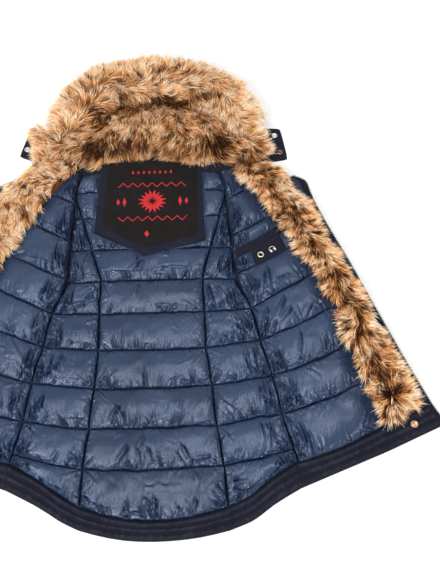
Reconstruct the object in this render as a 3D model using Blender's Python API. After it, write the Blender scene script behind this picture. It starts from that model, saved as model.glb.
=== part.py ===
"""Fur trimmed parka, laid open flat on its back with the quilted lining up.

Frame: metres, +Z up.  X = 0 is the centre back, +Y points to the hood, and the
origin lies on the resting surface under the waist line of the back.  Tables are
in millimetres.  Only the right half is tabulated: the left half is its mirror
image, apart from the inner pocket, which is on the right front alone.

Each laid panel is a grid of rows (down the garment) and columns (across it).
Its underside is the height at which the layer below carries it, and its top is
that height plus the thickness of the cloth and wadding, raised between quilting.
"""

import bmesh
import bpy
import numpy as np

MM = 0.001
SIDES = {1: "right", -1: "left"}   # sign of X on each side
GAP = 0.3              # left between pieces that are sewn or rest together
LAID_GAP = 1.0         # left under a piece whose grid differs from the one below

SHELL = 2.0            # outer fabric with its interlining
SEAM = 4.2             # lining and wadding pressed flat along a seam
PUFF = 14.0            # crown of a quilted channel
FACING = 8.5           # neck facing with the wadding under it
PINCH = 16.0           # distance over which a channel swells from a seam
LABEL = 0.9
POCKET = 2.4
HEM_STEPS = (2.6, 5.4, 4.3, 5.6, 4.3, 5.0, 2.2)   # two stitched ridges in the hem

FUR_STRIP = 27.0       # height of the pile along the fronts
FUR_LINING = 38.0      # height of the pile inside the hood
SLEEVE_CLEAR = 1.2     # between a sleeve and the front that lies on it
SLEEVE_OFFSET = 1.5    # between a sleeve and the back lining beside it
CHANNEL = (0.0, 0.12, 0.36, 0.64, 0.88)   # rows within a channel, as shares

# Rows of the back at its quilting lines: centre back, the princess seam (which
# leaves the armhole between the first two lines), and the armhole or side seam.
BACK_COLUMNS = ("y_centre", "x_princess", "y_princess", "x_side", "y_side")
BACK_ROWS = (
    (312, 134, 304, 134, 304),
    (266, 143, 260, 143, 260),
    (200, 130, 203, 146, 203),
    (132, 109, 132, 150, 130),
    (66, 92, 66, 153, 64),
    (0, 91, 0, 174, 4),
    (-69, 92, -68, 185, -58),
    (-138, 97, -137, 199, -123),
    (-205, 103, -204, 209, -188),
    (-272, 110, -268, 222, -249),
    (-345, 113, -329, 226, -267),
)
BACK_PANEL_TOP = 1.22  # row at which the side panel starts between the seams
HEM_CENTRE, HEM_PRINCESS, HEM_SIDE = (0, -377), (114, -364), (229, -306)

# Rows of a front at its quilting lines: inner edge (whose distance from the centre
# is that of the back's edge), fur line, zip edge, and the height of the underside
# at the inner edge, over the sleeve and at the zip.
FRONT_COLUMNS = ("y_in", "x_fur", "y_fur", "x_zip", "y_zip", "low_in", "low_mid", "low_zip")
FRONT_ROWS = {
    "neck": (304, 143, 307, 252, 319, 3, 6, 3),
    "chest_a": (229, 179, 250, 301, 264, 12, 14, 6),
    "chest_b": (144, 219, 187, 312, 222, 15, 17, 8),
    "pocket": (101, 238, 152, 322, 190, 15, 18, 9),
    "chest_c": (66, 252, 118, 333, 158, 14, 18, 9),
    "waist_a": (4, 284, 60, 358, 92, 3, 16, 8),
    "waist_b": (-58, 309, -6, 383, 20, 0, 13, 6),
    "hip_a": (-123, 322, -80, 407, -48, 0, 10, 4),
    "hip_b": (-188, 342, -144, 431, -113, 0, 6, 1),
    "hem": (-267, 358, -221, 456, -179, 0, 0, 0),
}
HEM_FRONT, HEM_CORNER = (372, -254), (473, -213)
ROW_BOW = 5.0          # sag of a front's quilting line between edge and fur
FUR_EDGE = 1.90        # column where fur and lining end and the zip tape starts
FRONT_GRID = (0.0, 0.09, 0.28, 0.5, 0.75, 1.0, 1.3, 1.6, FUR_EDGE)
POCKET_ROWS = (3.0, 4.0)
POCKET_INSET = 0.06    # margin of the pocket panel inside its two quilting lines

# Rows of a sleeve, which lies under its front: the front's row, and the columns
# of its inner and outer fold.  The cuff is turned back under the last row.
SLEEVE_COLUMNS = ("row", "fold_in", "fold_out")
SLEEVE_ROWS = (
    (0.08, 0.00, 0.50),
    (1.00, 0.00, 0.90),
    (2.00, 0.00, 1.22),
    (4.00, 0.00, 1.48),
    (5.00, 0.02, 1.55),
    (6.00, 0.14, 1.56),
    (7.00, 0.30, 1.56),
    (8.00, 0.45, 1.50),
    (8.45, 0.52, 1.40),
)

# Brim of the hood from its middle to its right end: centre line, half width and
# height of the fur roll.
BRIM_COLUMNS = ("x", "y", "half_width", "height")
BRIM_ROWS = (
    (0, 520, 66, 58),
    (58, 515, 63, 57),
    (108, 497, 57, 55),
    (150, 465, 49, 52),
    (182, 420, 41, 47),
    (205, 372, 33, 42),
    (217, 336, 28, 36),
)
HOOD_SHELL = 5.0       # outer fabric, interlining and seam allowances
HOOD_INSET = 13.0      # how far the pile overhangs the hood's fabric
TAB = 2.6
HOOD_LEAN = 0.050      # the hood lies a little to the right of the centre back

# Chin tabs and their snap fasteners, as distances from the centre back.
TAB_OUTLINE = {
    "right": ((234, 416), (264, 410), (273, 334), (234, 328)),
    "left": ((223, 430), (243, 437), (262, 362), (236, 350)),
}
TAB_SNAPS = {
    "right": {"upper": (252, 396, "snap_silver"), "lower": (259, 353, "snap_copper")},
    "left": {"upper": (235, 420, "snap_copper"), "lower": (247, 377, "snap_silver")},
}
HEM_SNAP = (419, -214)
SNAP_RADIUS, SNAP_RIM, SNAP_HEIGHT = 6.0, 1.4, 2.2

FACING_OUTLINE = ((0, 311), (-101, 306), (-104, 160), (0, 123), (104, 160), (101, 306))
LABEL_INSET = 8.5
EYELET_AT, EYELET_OUTER, EYELET_INNER = (197, 101), 6.2, 2.8

# name: base colour, roughness, metallic
FINISHES = {
    "shell_navy": ((0.020, 0.022, 0.045), 0.72, 0.0),
    "lining_blue": ((0.062, 0.100, 0.180), 0.38, 0.0),
    "facing_navy": ((0.022, 0.026, 0.052), 0.65, 0.0),
    "label_black": ((0.012, 0.009, 0.009), 0.80, 0.0),
    "fur_honey": ((0.420, 0.240, 0.110), 0.95, 0.0),
    "zip_navy": ((0.016, 0.018, 0.032), 0.50, 0.0),
    "snap_silver": ((0.780, 0.770, 0.740), 0.25, 1.0),
    "snap_copper": ((0.720, 0.430, 0.270), 0.30, 1.0),
}


def clear_scene():
    for obj in list(bpy.data.objects):
        bpy.data.objects.remove(obj, do_unlink=True)


def finish(name):
    """Principled material of a named finish."""
    material = bpy.data.materials.get(name)
    if material is None:
        colour, roughness, metallic = FINISHES[name]
        material = bpy.data.materials.new(name)
        material.use_nodes = True
        shader = material.node_tree.nodes["Principled BSDF"]
        shader.inputs["Base Color"].default_value = (*colour, 1.0)
        shader.inputs["Roughness"].default_value = roughness
        shader.inputs["Metallic"].default_value = metallic
    return material


def column(rows, names, name):
    return np.array([row[names.index(name)] for row in rows], dtype=float)


def between(values, at):
    """Monotone cubic through values at 0, 1, 2 ..., read at the given places."""
    values = np.asarray(values, dtype=float)
    step = np.diff(values)
    slope = np.zeros_like(values)
    same_way = step[:-1] * step[1:] > 0
    product = step[:-1] * step[1:]
    total = np.where(same_way, step[:-1] + step[1:], 1.0)
    slope[1:-1] = np.where(same_way, 2.0 * product / total, 0.0)
    slope[0], slope[-1] = step[0], step[-1]
    at = np.clip(np.asarray(at, dtype=float), 0.0, len(values) - 1.0)
    low = np.minimum(at.astype(int), len(values) - 2)
    t = at - low
    hermite_start = (1 + 2 * t) * (1 - t) ** 2
    hermite_end = t * t * (3 - 2 * t)
    return (hermite_start * values[low] + t * (1 - t) ** 2 * slope[low]
            + hermite_end * values[low + 1] + t * t * (t - 1) * slope[low + 1])


def ease(low, high, value):
    """0 below low, 1 above high, smooth in between."""
    t = np.clip((np.asarray(value, dtype=float) - low) / (high - low), 0.0, 1.0)
    return t * t * (3 - 2 * t)


def channel_rows(marks):
    """Row places for quilted channels between consecutive marks."""
    places = []
    for start, end in zip(marks[:-1], marks[1:]):
        places += [start + (end - start) * share for share in CHANNEL]
    return np.array(places + [marks[-1]])


def channel_height(places, marks):
    """0 on each quilting mark, 1 on the crown between two of them."""
    marks = np.asarray(marks, dtype=float)
    index = np.clip(np.searchsorted(marks, places, side="right") - 1, 0, len(marks) - 2)
    share = (places - marks[index]) / (marks[index + 1] - marks[index])
    return np.sin(np.pi * np.clip(share, 0.0, 1.0)) ** 0.6


def swell(distance):
    """0 at a seam, 1 from PINCH away: a quarter round."""
    t = np.clip(distance / PINCH, 0.0, 1.0)
    return np.sqrt(1.0 - (1.0 - t) ** 2)


def smooth_by_angle(mesh, degrees=40.0):
    mesh.shade_smooth()
    mesh.set_sharp_from_angle(angle=np.radians(degrees))


def add_object(name, points, faces, finish_name):
    """Object from points in millimetres, with its faces made to point out."""
    mesh = bpy.data.meshes.new(name)
    mesh.from_pydata((np.asarray(points, dtype=float) * MM).tolist(), [], faces)
    work = bmesh.new()
    work.from_mesh(mesh)
    bmesh.ops.recalc_face_normals(work, faces=work.faces)
    bmesh.ops.triangulate(work, faces=[face for face in work.faces if len(face.verts) > 3])
    work.to_mesh(mesh)
    work.free()
    smooth_by_angle(mesh)
    mesh.materials.append(finish(finish_name))
    obj = bpy.data.objects.new(name, mesh)
    bpy.context.collection.objects.link(obj)
    return obj


def mirrored(points, side):
    return points * np.array([side, 1.0, 1.0])


def laid_solid(name, plan, top, low, finish_name, side=1, turn=0):
    """Closed solid over a plan grid (rows, columns, 2), between heights low and top.

    Every cell is cut along the same diagonal above and below, so that layers on
    one grid stay parallel, and the rows before turn along the other diagonal.
    A constant underside is a single flat face.
    """
    rows, columns = plan.shape[:2]
    upper = np.dstack([plan, np.broadcast_to(top, (rows, columns))]).reshape(-1, 3)
    index = np.arange(rows * columns).reshape(rows, columns)
    rim = [*index[0, :-1], *index[:-1, -1], *index[-1, :0:-1], *index[:0:-1, 0]]
    rim = [int(point) for point in rim]
    corners = (index[:-1, :-1], index[:-1, 1:], index[1:, 1:], index[1:, :-1])
    faces = []
    for first, last, other_way in ((0, turn, True), (turn, rows - 1, False)):
        a, b, c, d = (corner[first:last].ravel().tolist() for corner in corners)
        faces += [*zip(a, b, d), *zip(b, c, d)] if other_way else [*zip(a, b, c), *zip(a, c, d)]
    count = rows * columns
    if np.ndim(low) == 0:
        lower = upper[rim].copy()
        lower[:, 2] = low
        under = {point: count + place for place, point in enumerate(rim)}
        faces.append(tuple(under[point] for point in reversed(rim)))
    else:
        lower = np.dstack([plan, low]).reshape(-1, 3)
        under = {point: count + point for point in range(count)}
        faces += [tuple(under[point] for point in reversed(face)) for face in faces]
    for point, after in zip(rim, rim[1:] + rim[:1]):
        faces.append((after, point, under[point]))
        faces.append((after, under[point], under[after]))
    return add_object(name, mirrored(np.vstack([upper, lower]), side), faces, finish_name)


def plate(name, outline, low, high, finish_name):
    """Flat plate: a plan outline carried from height low to height high."""
    outline = np.asarray(outline, dtype=float)
    count = len(outline)
    levels = [np.column_stack([outline, np.full(count, z)]) for z in (low, high)]
    ring = range(count)
    faces = [tuple(ring), tuple(count + point for point in reversed(ring))]
    faces += [(p, (p + 1) % count, count + (p + 1) % count, count + p) for p in ring]
    return add_object(name, np.vstack(levels), faces, finish_name)


def inset_outline(outline, distance):
    """Convex outline, clockwise or not, moved inwards by a distance."""
    outline = np.asarray(outline, dtype=float)
    middle = outline.mean(axis=0)
    moved = []
    count = len(outline)
    for point in range(count):
        before, here, after = outline[point - 1], outline[point], outline[(point + 1) % count]
        normals = []
        for start, end in ((before, here), (here, after)):
            along = (end - start) / np.linalg.norm(end - start)
            normal = np.array([-along[1], along[0]])
            normals.append(normal * np.sign(normal @ (middle - start)))
        bisector = normals[0] + normals[1]
        moved.append(here + bisector * distance / (1.0 + normals[0] @ normals[1]))
    return np.array(moved)


# ---------------------------------------------------------------- back

def back_point(name, at):
    """The back's tabulated value, between its rows."""
    return between(column(BACK_ROWS, BACK_COLUMNS, name), at)


def hem_line(x):
    """Lower edge of the back: a flat curve that rises towards the side seams."""
    share = np.abs(x) / HEM_PRINCESS[0]
    rise = HEM_PRINCESS[1] - HEM_CENTRE[1]
    outer = (HEM_SIDE[1] - HEM_PRINCESS[1]) / (HEM_SIDE[0] - HEM_PRINCESS[0])
    curve = HEM_CENTRE[1] + rise * share ** 2.4
    return np.where(share <= 1, curve, HEM_PRINCESS[1] + outer * (np.abs(x) - HEM_PRINCESS[0]))


def back_edge_x(y):
    """Distance from the centre of the armhole and side seam at a place up the back."""
    at = np.linspace(len(BACK_ROWS) - 1, 0, 201)
    return np.interp(y, back_point("y_side", at), back_point("x_side", at))


def back_shell_outline():
    """Right edge from the hem up the side seam and armhole, then its mirror image."""
    hem_x = np.linspace(0.0, HEM_SIDE[0] - GAP, 10)
    hem = np.column_stack([hem_x, hem_line(hem_x)])
    at = np.linspace(len(BACK_ROWS) - 1, 0, 31)
    edge = np.column_stack([back_point("x_side", at) - GAP, back_point("y_side", at)])
    neck = np.array([[70.0, 310.0], [0.0, BACK_ROWS[0][0]]])
    right = np.vstack([hem, edge, neck])
    left = right[-2:0:-1] * np.array([-1.0, 1.0])
    return np.vstack([right, left])


def back_lining_centre():
    """Quilted channels between the princess seams, cut out for the neck facing."""
    marks = np.arange(len(BACK_ROWS))
    at = channel_rows(marks)
    share = np.array([-1.0, -0.93, -0.78, -0.4, 0.0, 0.4, 0.78, 0.93, 1.0])
    half = back_point("x_princess", at) - GAP
    centre, edge = back_point("y_centre", at), back_point("y_princess", at)
    x = half[:, None] * share
    y = centre[:, None] + (edge - centre)[:, None] * share ** 2
    raised = channel_height(at, marks)[:, None] * swell(half[:, None] - np.abs(x))
    low = SHELL + GAP
    panel = laid_solid("back_lining_centre", np.dstack([x, y]),
                       low + SEAM + (PUFF - SEAM) * raised, low, "lining_blue")
    hole = inset_outline(FACING_OUTLINE, -GAP)
    hole[[0, 1, -1], 1] += PUFF
    cutter = plate("facing_cutter", hole, 0.0, 3 * PUFF, "facing_navy")
    cutter.hide_render = True
    cutter.display_type = "WIRE"
    cut = panel.modifiers.new("facing_cut", "BOOLEAN")
    cut.object = cutter
    cut.solver = "EXACT"


def back_lining_side(side):
    """Quilted channels between the princess seam and the armhole or side seam."""
    first = int(np.ceil(BACK_PANEL_TOP))
    marks = np.array([BACK_PANEL_TOP, *range(first, len(BACK_ROWS))])
    at = channel_rows(marks)
    share = np.array([0.0, 0.13, 0.4, 0.6, 0.87, 1.0])
    start = np.column_stack([back_point("x_princess", at), back_point("y_princess", at)])
    end = np.column_stack([back_point("x_side", at), back_point("y_side", at)])
    start[:, 0] += GAP
    end[:, 0] -= GAP
    plan = start[:, None] + (end - start)[:, None] * share[:, None]
    width = (end - start)[:, :1]
    raised = channel_height(at, marks)[:, None]
    raised = raised * swell(width * share) * swell(width * (1.0 - share))
    low = SHELL + GAP
    laid_solid(f"back_lining_side_{SIDES[side]}", plan,
               low + SEAM + (PUFF - SEAM) * raised, low, "lining_blue", side)


def neck_facing():
    """Shield shaped facing under the hood seam, and the label patch sewn to it."""
    low = SHELL + GAP
    plate("neck_facing", FACING_OUTLINE, low, low + FACING, "facing_navy")
    top = low + FACING + GAP
    label = inset_outline(FACING_OUTLINE, LABEL_INSET)
    plate("neck_label", label, top, top + LABEL, "label_black")


def hem_facing_back():
    """Band along the hem of the back, with two stitched ridges along it."""
    across = np.linspace(0.0, 1.0, len(HEM_STEPS))
    x_top = np.linspace(-1.0, 1.0, 25) * (BACK_ROWS[-1][3] - GAP)
    x_low = np.linspace(-1.0, 1.0, 25) * (HEM_SIDE[0] - GAP)
    y_centre, x_princess, y_princess, x_side, y_side = BACK_ROWS[-1]
    curve = y_centre + (y_princess - y_centre) * (x_top / x_princess) ** 2
    line = y_princess + (y_side - y_princess) * (np.abs(x_top) - x_princess) / (x_side - x_princess)
    y_top = np.where(np.abs(x_top) < x_princess, curve, line) - 2 * GAP
    start, end = np.column_stack([x_top, y_top]), np.column_stack([x_low, hem_line(x_low)])
    plan = start[None] + (end - start)[None] * across[:, None, None]
    low = SHELL + GAP
    laid_solid("hem_facing_back", plan, low + np.array(HEM_STEPS)[:, None], low, "shell_navy")


# ---------------------------------------------------------------- fronts

def front_point(name, at):
    """A front's tabulated value, between its rows."""
    return between(column(list(FRONT_ROWS.values()), FRONT_COLUMNS, name), at)


def front_plan(at, across):
    """Plan points: across 0 is the inner edge, 1 the fur line and 2 the zip edge."""
    at, across = np.asarray(at, dtype=float)[:, None], np.asarray(across, dtype=float)
    x_fur, x_zip = (front_point(name, at) for name in ("x_fur", "x_zip"))
    y_in, y_fur, y_zip = (front_point(name, at) for name in ("y_in", "y_fur", "y_zip"))
    x_in = back_edge_x(y_in)
    inner, outer = np.clip(across, 0, 1), np.clip(across - 1, 0, 1)
    x = x_in + GAP + (x_fur - x_in) * inner + (x_zip - x_fur) * outer
    y = y_in + (y_fur - y_in) * inner + (y_zip - y_fur) * outer
    bow = ROW_BOW * np.sin(np.pi * inner) * (x_fur - x_in) / 130.0
    return np.dstack([x, y - bow])


def front_low(at, across):
    """Height of a front's underside: the sleeve that lies below carries it."""
    at, across = np.asarray(at, dtype=float)[:, None], np.asarray(across, dtype=float)
    low_in, low_mid, low_zip = (front_point(f"low_{name}", at) for name in ("in", "mid", "zip"))
    rise, fall = ease(0.0, 0.45, across), ease(1.2, 2.0, across)
    return np.maximum(low_in + (low_mid - low_in) * rise + (low_zip - low_mid) * fall, 0.0)


def front_marks(side):
    """Quilting lines of a front: the pocket's upper line is on the right only."""
    return [row for row, name in enumerate(FRONT_ROWS) if side > 0 or name != "pocket"]


def lining_top(at, across, side):
    """Top of a front's lining above its underside: channels, flat below the fur."""
    marks = front_marks(side)
    width = np.linalg.norm(front_plan(at, [1.0]) - front_plan(at, [0.0]), axis=2)
    across = np.asarray(across, dtype=float)
    raised = channel_height(np.asarray(at, dtype=float), marks)[:, None]
    raised = raised * swell(width * across) * swell(width * np.clip(1.0 - across, 0.0, 1.0))
    if side > 0:
        first, last = POCKET_ROWS
        pocket = (np.asarray(at) >= first) & (np.asarray(at) <= last)
        raised = np.where(pocket[:, None], 0.0, raised)
    return SEAM + (PUFF - SEAM) * raised


def front(side):
    """Outer fabric and quilted lining of one front, from the shoulder to the hem."""
    name = SIDES[side]
    at = channel_rows(front_marks(side))
    across = np.array(FRONT_GRID)
    low = front_low(at, across)
    top = low + SHELL + GAP + lining_top(at, across, side)
    laid_solid(f"front_lining_{name}", front_plan(at, across), top, low + SHELL + GAP,
               "lining_blue", side)

    across = np.append(across, 2.0)
    plan, low = front_plan(at, across), front_low(at, across)
    hem = front_hem_plan(across)
    plan = np.concatenate([plan, hem[1:]])
    low = np.concatenate([low, np.zeros(hem[1:].shape[:2])])
    laid_solid(f"front_shell_{name}", plan, low + SHELL, low, "shell_navy", side)


def front_hem_plan(across, lines=3):
    """Plan of the band between the last quilting line and the hem."""
    across = np.asarray(across, dtype=float)
    top = front_plan([len(FRONT_ROWS) - 1], across)[0]
    inner, outer = np.clip(across, 0, 1)[:, None], np.clip(across - 1, 0, 1)[:, None]
    start, middle, end = (np.array(point, dtype=float) for point in (HEM_SIDE, HEM_FRONT, HEM_CORNER))
    start = start + np.array([GAP, 0.0])
    low = start + (middle - start) * inner + (end - middle) * outer
    share = np.linspace(0.0, 1.0, lines)[:, None, None]
    return top[None] + (low - top)[None] * share


def hem_facing_front(side):
    """Band along the hem of a front, with the two ridges of the back's band."""
    across = np.linspace(0.0, FUR_EDGE, 12)
    plan = front_hem_plan(across, len(HEM_STEPS))
    plan[0, :, 1] -= 2 * GAP
    low = SHELL + GAP
    laid_solid(f"hem_facing_front_{SIDES[side]}", plan, low + np.array(HEM_STEPS)[:, None],
               low, "shell_navy", side)


def zip_side(side):
    """Zip tape along the front edge, with its row of teeth as a raised bead."""
    at = np.append(channel_rows(front_marks(side))[::2], len(FRONT_ROWS) - 1.0)
    at = at[at > 0.9]
    edge = front_plan(at, [2.0])[:, 0]
    low = front_low(at, [2.0])[:, 0]
    edge = np.vstack([edge, front_hem_plan([2.0])[1:, 0]])
    low = np.append(low, [0.0, 0.0])
    along = np.gradient(edge, axis=0)
    along /= np.linalg.norm(along, axis=1)[:, None]
    outward = np.column_stack([-along[:, 1], along[:, 0]])
    under, tape = SHELL + GAP, SHELL + GAP + 1.8
    section = ((-6.0, under), (-6.0, tape), (-0.5, tape), (0.5, tape + 2.2), (4.2, tape + 2.2),
               (5.2, tape + 0.4), (5.2, 0.9), (GAP, 0.9), (GAP, under))
    rings = [np.column_stack([edge + outward * offset, low + height]) for offset, height in section]
    swept_solid(f"zip_{SIDES[side]}", np.stack(rings, axis=1), "zip_navy", side)


def swept_solid(name, rings, finish_name, side=1):
    """Closed solid through rings of points (ring, point, 3), capped at both ends."""
    count, points = rings.shape[:2]
    faces = []
    for ring in range(count - 1):
        for point in range(points):
            after = (point + 1) % points
            here, there = ring * points, (ring + 1) * points
            faces.append((here + point, here + after, there + after))
            faces.append((here + point, there + after, there + point))
    faces.append(tuple(range(points)))
    faces.append(tuple((count - 1) * points + point for point in reversed(range(points))))
    return add_object(name, mirrored(rings.reshape(-1, 3), side), faces, finish_name)


def pocket_panel():
    """Plain panel of the inner pocket, laid on the lining between two quilting lines."""
    rows = channel_rows(front_marks(1))
    first, last = POCKET_ROWS
    inside = [row for row in rows if first < row < last]
    at = np.array([first + POCKET_INSET, *inside, last - POCKET_INSET])
    across = np.array([0.03, 0.28, 0.5, 0.75, 0.97])
    low = front_low(at, across) + SHELL + GAP + SEAM + LAID_GAP
    laid_solid("pocket_panel", front_plan(at, across), low + POCKET, low, "facing_navy")


def pocket_eyelet():
    """Metal eyelet in the pocket panel, for a headphone lead."""
    low = front_low([3.5], [0.5])[0, 0] + SHELL + GAP + SEAM + LAID_GAP + POCKET + GAP
    ring("pocket_eyelet", EYELET_AT, low + 0.4, EYELET_OUTER, EYELET_INNER, 1.6, "snap_silver")


def ring(name, centre, low, outer, inner, height, finish_name):
    """Flat washer with a rounded top: a turned section round an upright axis."""
    section = ((outer, 0.0), (outer, 0.5), (outer - 0.8, 1.0), (inner + 0.6, 1.0), (inner, 0.5), (inner, 0.0))
    angles = np.linspace(0.0, 2.0 * np.pi, 16, endpoint=False)
    turned = [[(centre[0] + r * np.cos(a), centre[1] + r * np.sin(a), low + height * h)
               for r, h in section] for a in angles]
    turned = np.array(turned)
    points = len(section)
    faces = []
    for here in range(len(angles)):
        there = (here + 1) % len(angles)
        for point in range(points):
            after = (point + 1) % points
            faces.append((here * points + point, there * points + point,
                          there * points + after, here * points + after))
    add_object(name, turned.reshape(-1, 3), faces, finish_name)


def fur_strip(side):
    """Pile along one front: a round roll on the flat outer part of the lining."""
    last = len(FRONT_ROWS) - 1.0
    ends = [[0.06, 0.2], [last - 0.3, last - 0.17, last - 0.08, last - 0.03]]
    middle = channel_rows(front_marks(1))[3:-3:2]
    at = np.concatenate([ends[0], middle, ends[1]])
    from_start, to_end = at - at[0], at[-1] - at
    narrow = 0.14 * (1.0 - np.sqrt(1.0 - (1.0 - np.clip(to_end / 0.45, 0, 1)) ** 2))
    section = np.array([0.0, 0.06, 0.2, 0.4, 0.6, 0.8, 0.94, 1.0])
    across = (1.0 + narrow)[:, None] + (FUR_EDGE - 1.0 - 2 * narrow)[:, None] * section
    plan = np.stack([front_plan([row], columns)[0] for row, columns in zip(at, across)])
    low = np.stack([front_low([row], columns)[0] for row, columns in zip(at, across)])
    low = low + SHELL + GAP + SEAM + LAID_GAP
    dome = (1.0 - np.abs(2 * section - 1.0) ** 2.6) ** 0.5
    lengthwise = np.sqrt(ease(0.0, 0.35, from_start + 0.12) * ease(0.0, 0.35, to_end + 0.06))
    waves = 1.0 + 0.07 * np.sin(at * 4.4 + 0.8)
    height = FUR_STRIP * (lengthwise * waves)[:, None] * dome + 3.0
    laid_solid(f"fur_front_{SIDES[side]}", plan, low + height, low, "fur_honey", side)


def sleeve(side):
    """Sleeve laid flat below its front: one rounded solid, its two layers at the edge."""
    rows = np.linspace(0.0, len(SLEEVE_ROWS) - 1.0, 16)
    at = between(column(SLEEVE_ROWS, SLEEVE_COLUMNS, "row"), rows)
    start = between(column(SLEEVE_ROWS, SLEEVE_COLUMNS, "fold_in"), rows)
    end = between(column(SLEEVE_ROWS, SLEEVE_COLUMNS, "fold_out"), rows)
    section = np.array([0.0, 0.05, 0.16, 0.35, 0.5, 0.65, 0.84, 0.95, 1.0])
    across = start[:, None] + (end - start)[:, None] * section
    plan = np.stack([front_plan([row], columns)[0] for row, columns in zip(at, across)])
    plan[..., 0] += SLEEVE_OFFSET
    carried = np.stack([front_low([row], columns)[0] for row, columns in zip(at, across)])
    round_off = np.sqrt(1.0 - np.abs(2 * section - 1.0) ** 5)
    length = rows / rows[-1]
    round_end = np.sqrt(1.0 - np.abs(2 * length - 1.0) ** 14)
    top = (carried - SLEEVE_CLEAR) * (0.35 + 0.65 * round_off * round_end[:, None])
    laid_solid(f"sleeve_{SIDES[side]}", plan, np.maximum(top, 0.8), 0.0, "shell_navy", side)


# ---------------------------------------------------------------- hood

def brim_line(at):
    """Centre line, half width and height of the brim; at runs from -1 to 1."""
    rows = np.abs(at) * (len(BRIM_ROWS) - 1)
    x, y, half, height = (between(column(BRIM_ROWS, BRIM_COLUMNS, name), rows)
                          for name in BRIM_COLUMNS)
    lean = HOOD_LEAN * (y - BRIM_ROWS[-1][1])
    return np.column_stack([np.sign(at) * x + lean, y]), half, height


def brim_frame(at):
    """Centre line with its outward normal in plan."""
    step = 0.01
    centre, half, height = brim_line(at)
    ahead, _, _ = brim_line(np.clip(at + step, -1, 1))
    behind, _, _ = brim_line(np.clip(at - step, -1, 1))
    along = ahead - behind
    along /= np.linalg.norm(along, axis=1)[:, None]
    return centre, np.column_stack([-along[:, 1], along[:, 0]]), half, height


def hood_brim():
    """Fur roll round the face edge of the hood, from one chin tab to the other."""
    at = np.sin(np.linspace(-0.5, 0.5, 33) * np.pi)
    centre, outward, half, height = brim_frame(at)
    section = np.array([-1.0, -0.9, -0.66, -0.33, 0.0, 0.33, 0.66, 0.9, 1.0])
    plan = centre[:, None] + outward[:, None] * (half[:, None] * section)[..., None]
    dome = (1.0 - np.abs(section) ** 2.6) ** 0.5
    lengthwise = np.sqrt(ease(0.0, 0.10, 1.02 - np.abs(at)))
    waves = 1.0 + 0.05 * np.sin(at * 17.0 + 1.0)
    low = HOOD_SHELL + GAP
    top = low + 4.0 + (height * lengthwise * waves)[:, None] * dome
    laid_solid("hood_fur_brim", plan, top, low, "fur_honey", turn=len(at) // 2)


def neck_line(x):
    """Seam of the hood: the top edge of the back and of both fronts."""
    x = np.abs(x)
    y_centre, x_back, y_back = BACK_ROWS[0][:3]
    y_in, x_fur, y_fur, x_zip, y_zip = FRONT_ROWS["neck"][:5]
    back = y_centre + (y_back - y_centre) * (x / x_back) ** 2
    front_edge = np.interp(x, (x_back, x_fur, x_zip), (y_in, y_fur, y_zip))
    return np.where(x < x_back, back, front_edge)


def hood_lining():
    """Fur inside the hood: a low mound between the neck seam and the brim."""
    at = np.sin(np.linspace(-0.5, 0.5, 25) * np.pi)
    centre, outward, half, _ = brim_frame(at)
    far = centre - outward * (half + LAID_GAP)[:, None]
    near_x = far[:, 0] * np.minimum(1.0, 0.94 + 0.06 * np.abs(at))
    near = np.column_stack([near_x, neck_line(near_x) + LAID_GAP])
    share = np.array([0.0, 0.07, 0.22, 0.42, 0.62, 0.82, 0.95, 1.0])
    plan = near[:, None] + (far - near)[:, None] * share[:, None]
    dome = (1.0 - np.abs(2 * share - 1.0) ** 3.0) ** 0.5
    sideways = np.sqrt(ease(0.0, 0.25, 1.05 - np.abs(at)))
    waves = 1.0 + 0.06 * np.sin(at * 11.0 + 2.0)
    low = HOOD_SHELL + GAP
    top = low + 5.0 + (FUR_LINING * sideways * waves)[:, None] * dome
    laid_solid("hood_fur_lining", plan, top, low, "fur_honey", turn=len(at) // 2)


def hood_shell():
    """Back of the hood's fabric, flat on the surface inside the edge of the fur."""
    at = np.linspace(-1.0, 1.0, 37)
    centre, outward, half, _ = brim_frame(at)
    edge = centre + outward * (half - HOOD_INSET)[:, None]
    x = np.linspace(edge[-1, 0], edge[0, 0], 21)
    near = np.column_stack([x, neck_line(x) + 2 * GAP])
    plate("hood_shell", np.vstack([edge, near]), 0.0, HOOD_SHELL, "shell_navy")


def hood_tab(side):
    """Chin tab at the end of the brim, with its two snap fasteners."""
    name = SIDES[side]
    flip = np.array([side, 1.0])
    plate(f"hood_tab_{name}", np.array(TAB_OUTLINE[name]) * flip, 0.0, TAB, "shell_navy")
    for place, (x, y, finish_name) in TAB_SNAPS[name].items():
        snap(f"tab_snap_{place}_{name}", (side * x, y), TAB + GAP, finish_name)


def snap(name, centre, low, finish_name):
    """Snap fastener cap: a turned rim round a shallow dish."""
    section = ((0.0, 0.0), (SNAP_RADIUS, 0.0), (SNAP_RADIUS, 0.6 * SNAP_HEIGHT),
               (SNAP_RADIUS - SNAP_RIM, SNAP_HEIGHT), (SNAP_RADIUS - 2 * SNAP_RIM, 0.6 * SNAP_HEIGHT),
               (0.0, 0.7 * SNAP_HEIGHT))
    angles = np.linspace(0.0, 2.0 * np.pi, 14, endpoint=False)
    rings = section[1:-1]
    points = [(centre[0], centre[1], low), (centre[0], centre[1], low + section[-1][1])]
    for radius, height in rings:
        points += [(centre[0] + radius * np.cos(a), centre[1] + radius * np.sin(a), low + height)
                   for a in angles]
    count = len(angles)
    faces = []
    for here in range(count):
        there = (here + 1) % count
        faces.append((0, 2 + there, 2 + here))
        for level in range(len(rings) - 1):
            base = 2 + level * count
            faces.append((base + here, base + there, base + count + there, base + count + here))
        top = 2 + (len(rings) - 1) * count
        faces.append((1, top + here, top + there))
    add_object(name, np.array(points), faces, finish_name)


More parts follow.
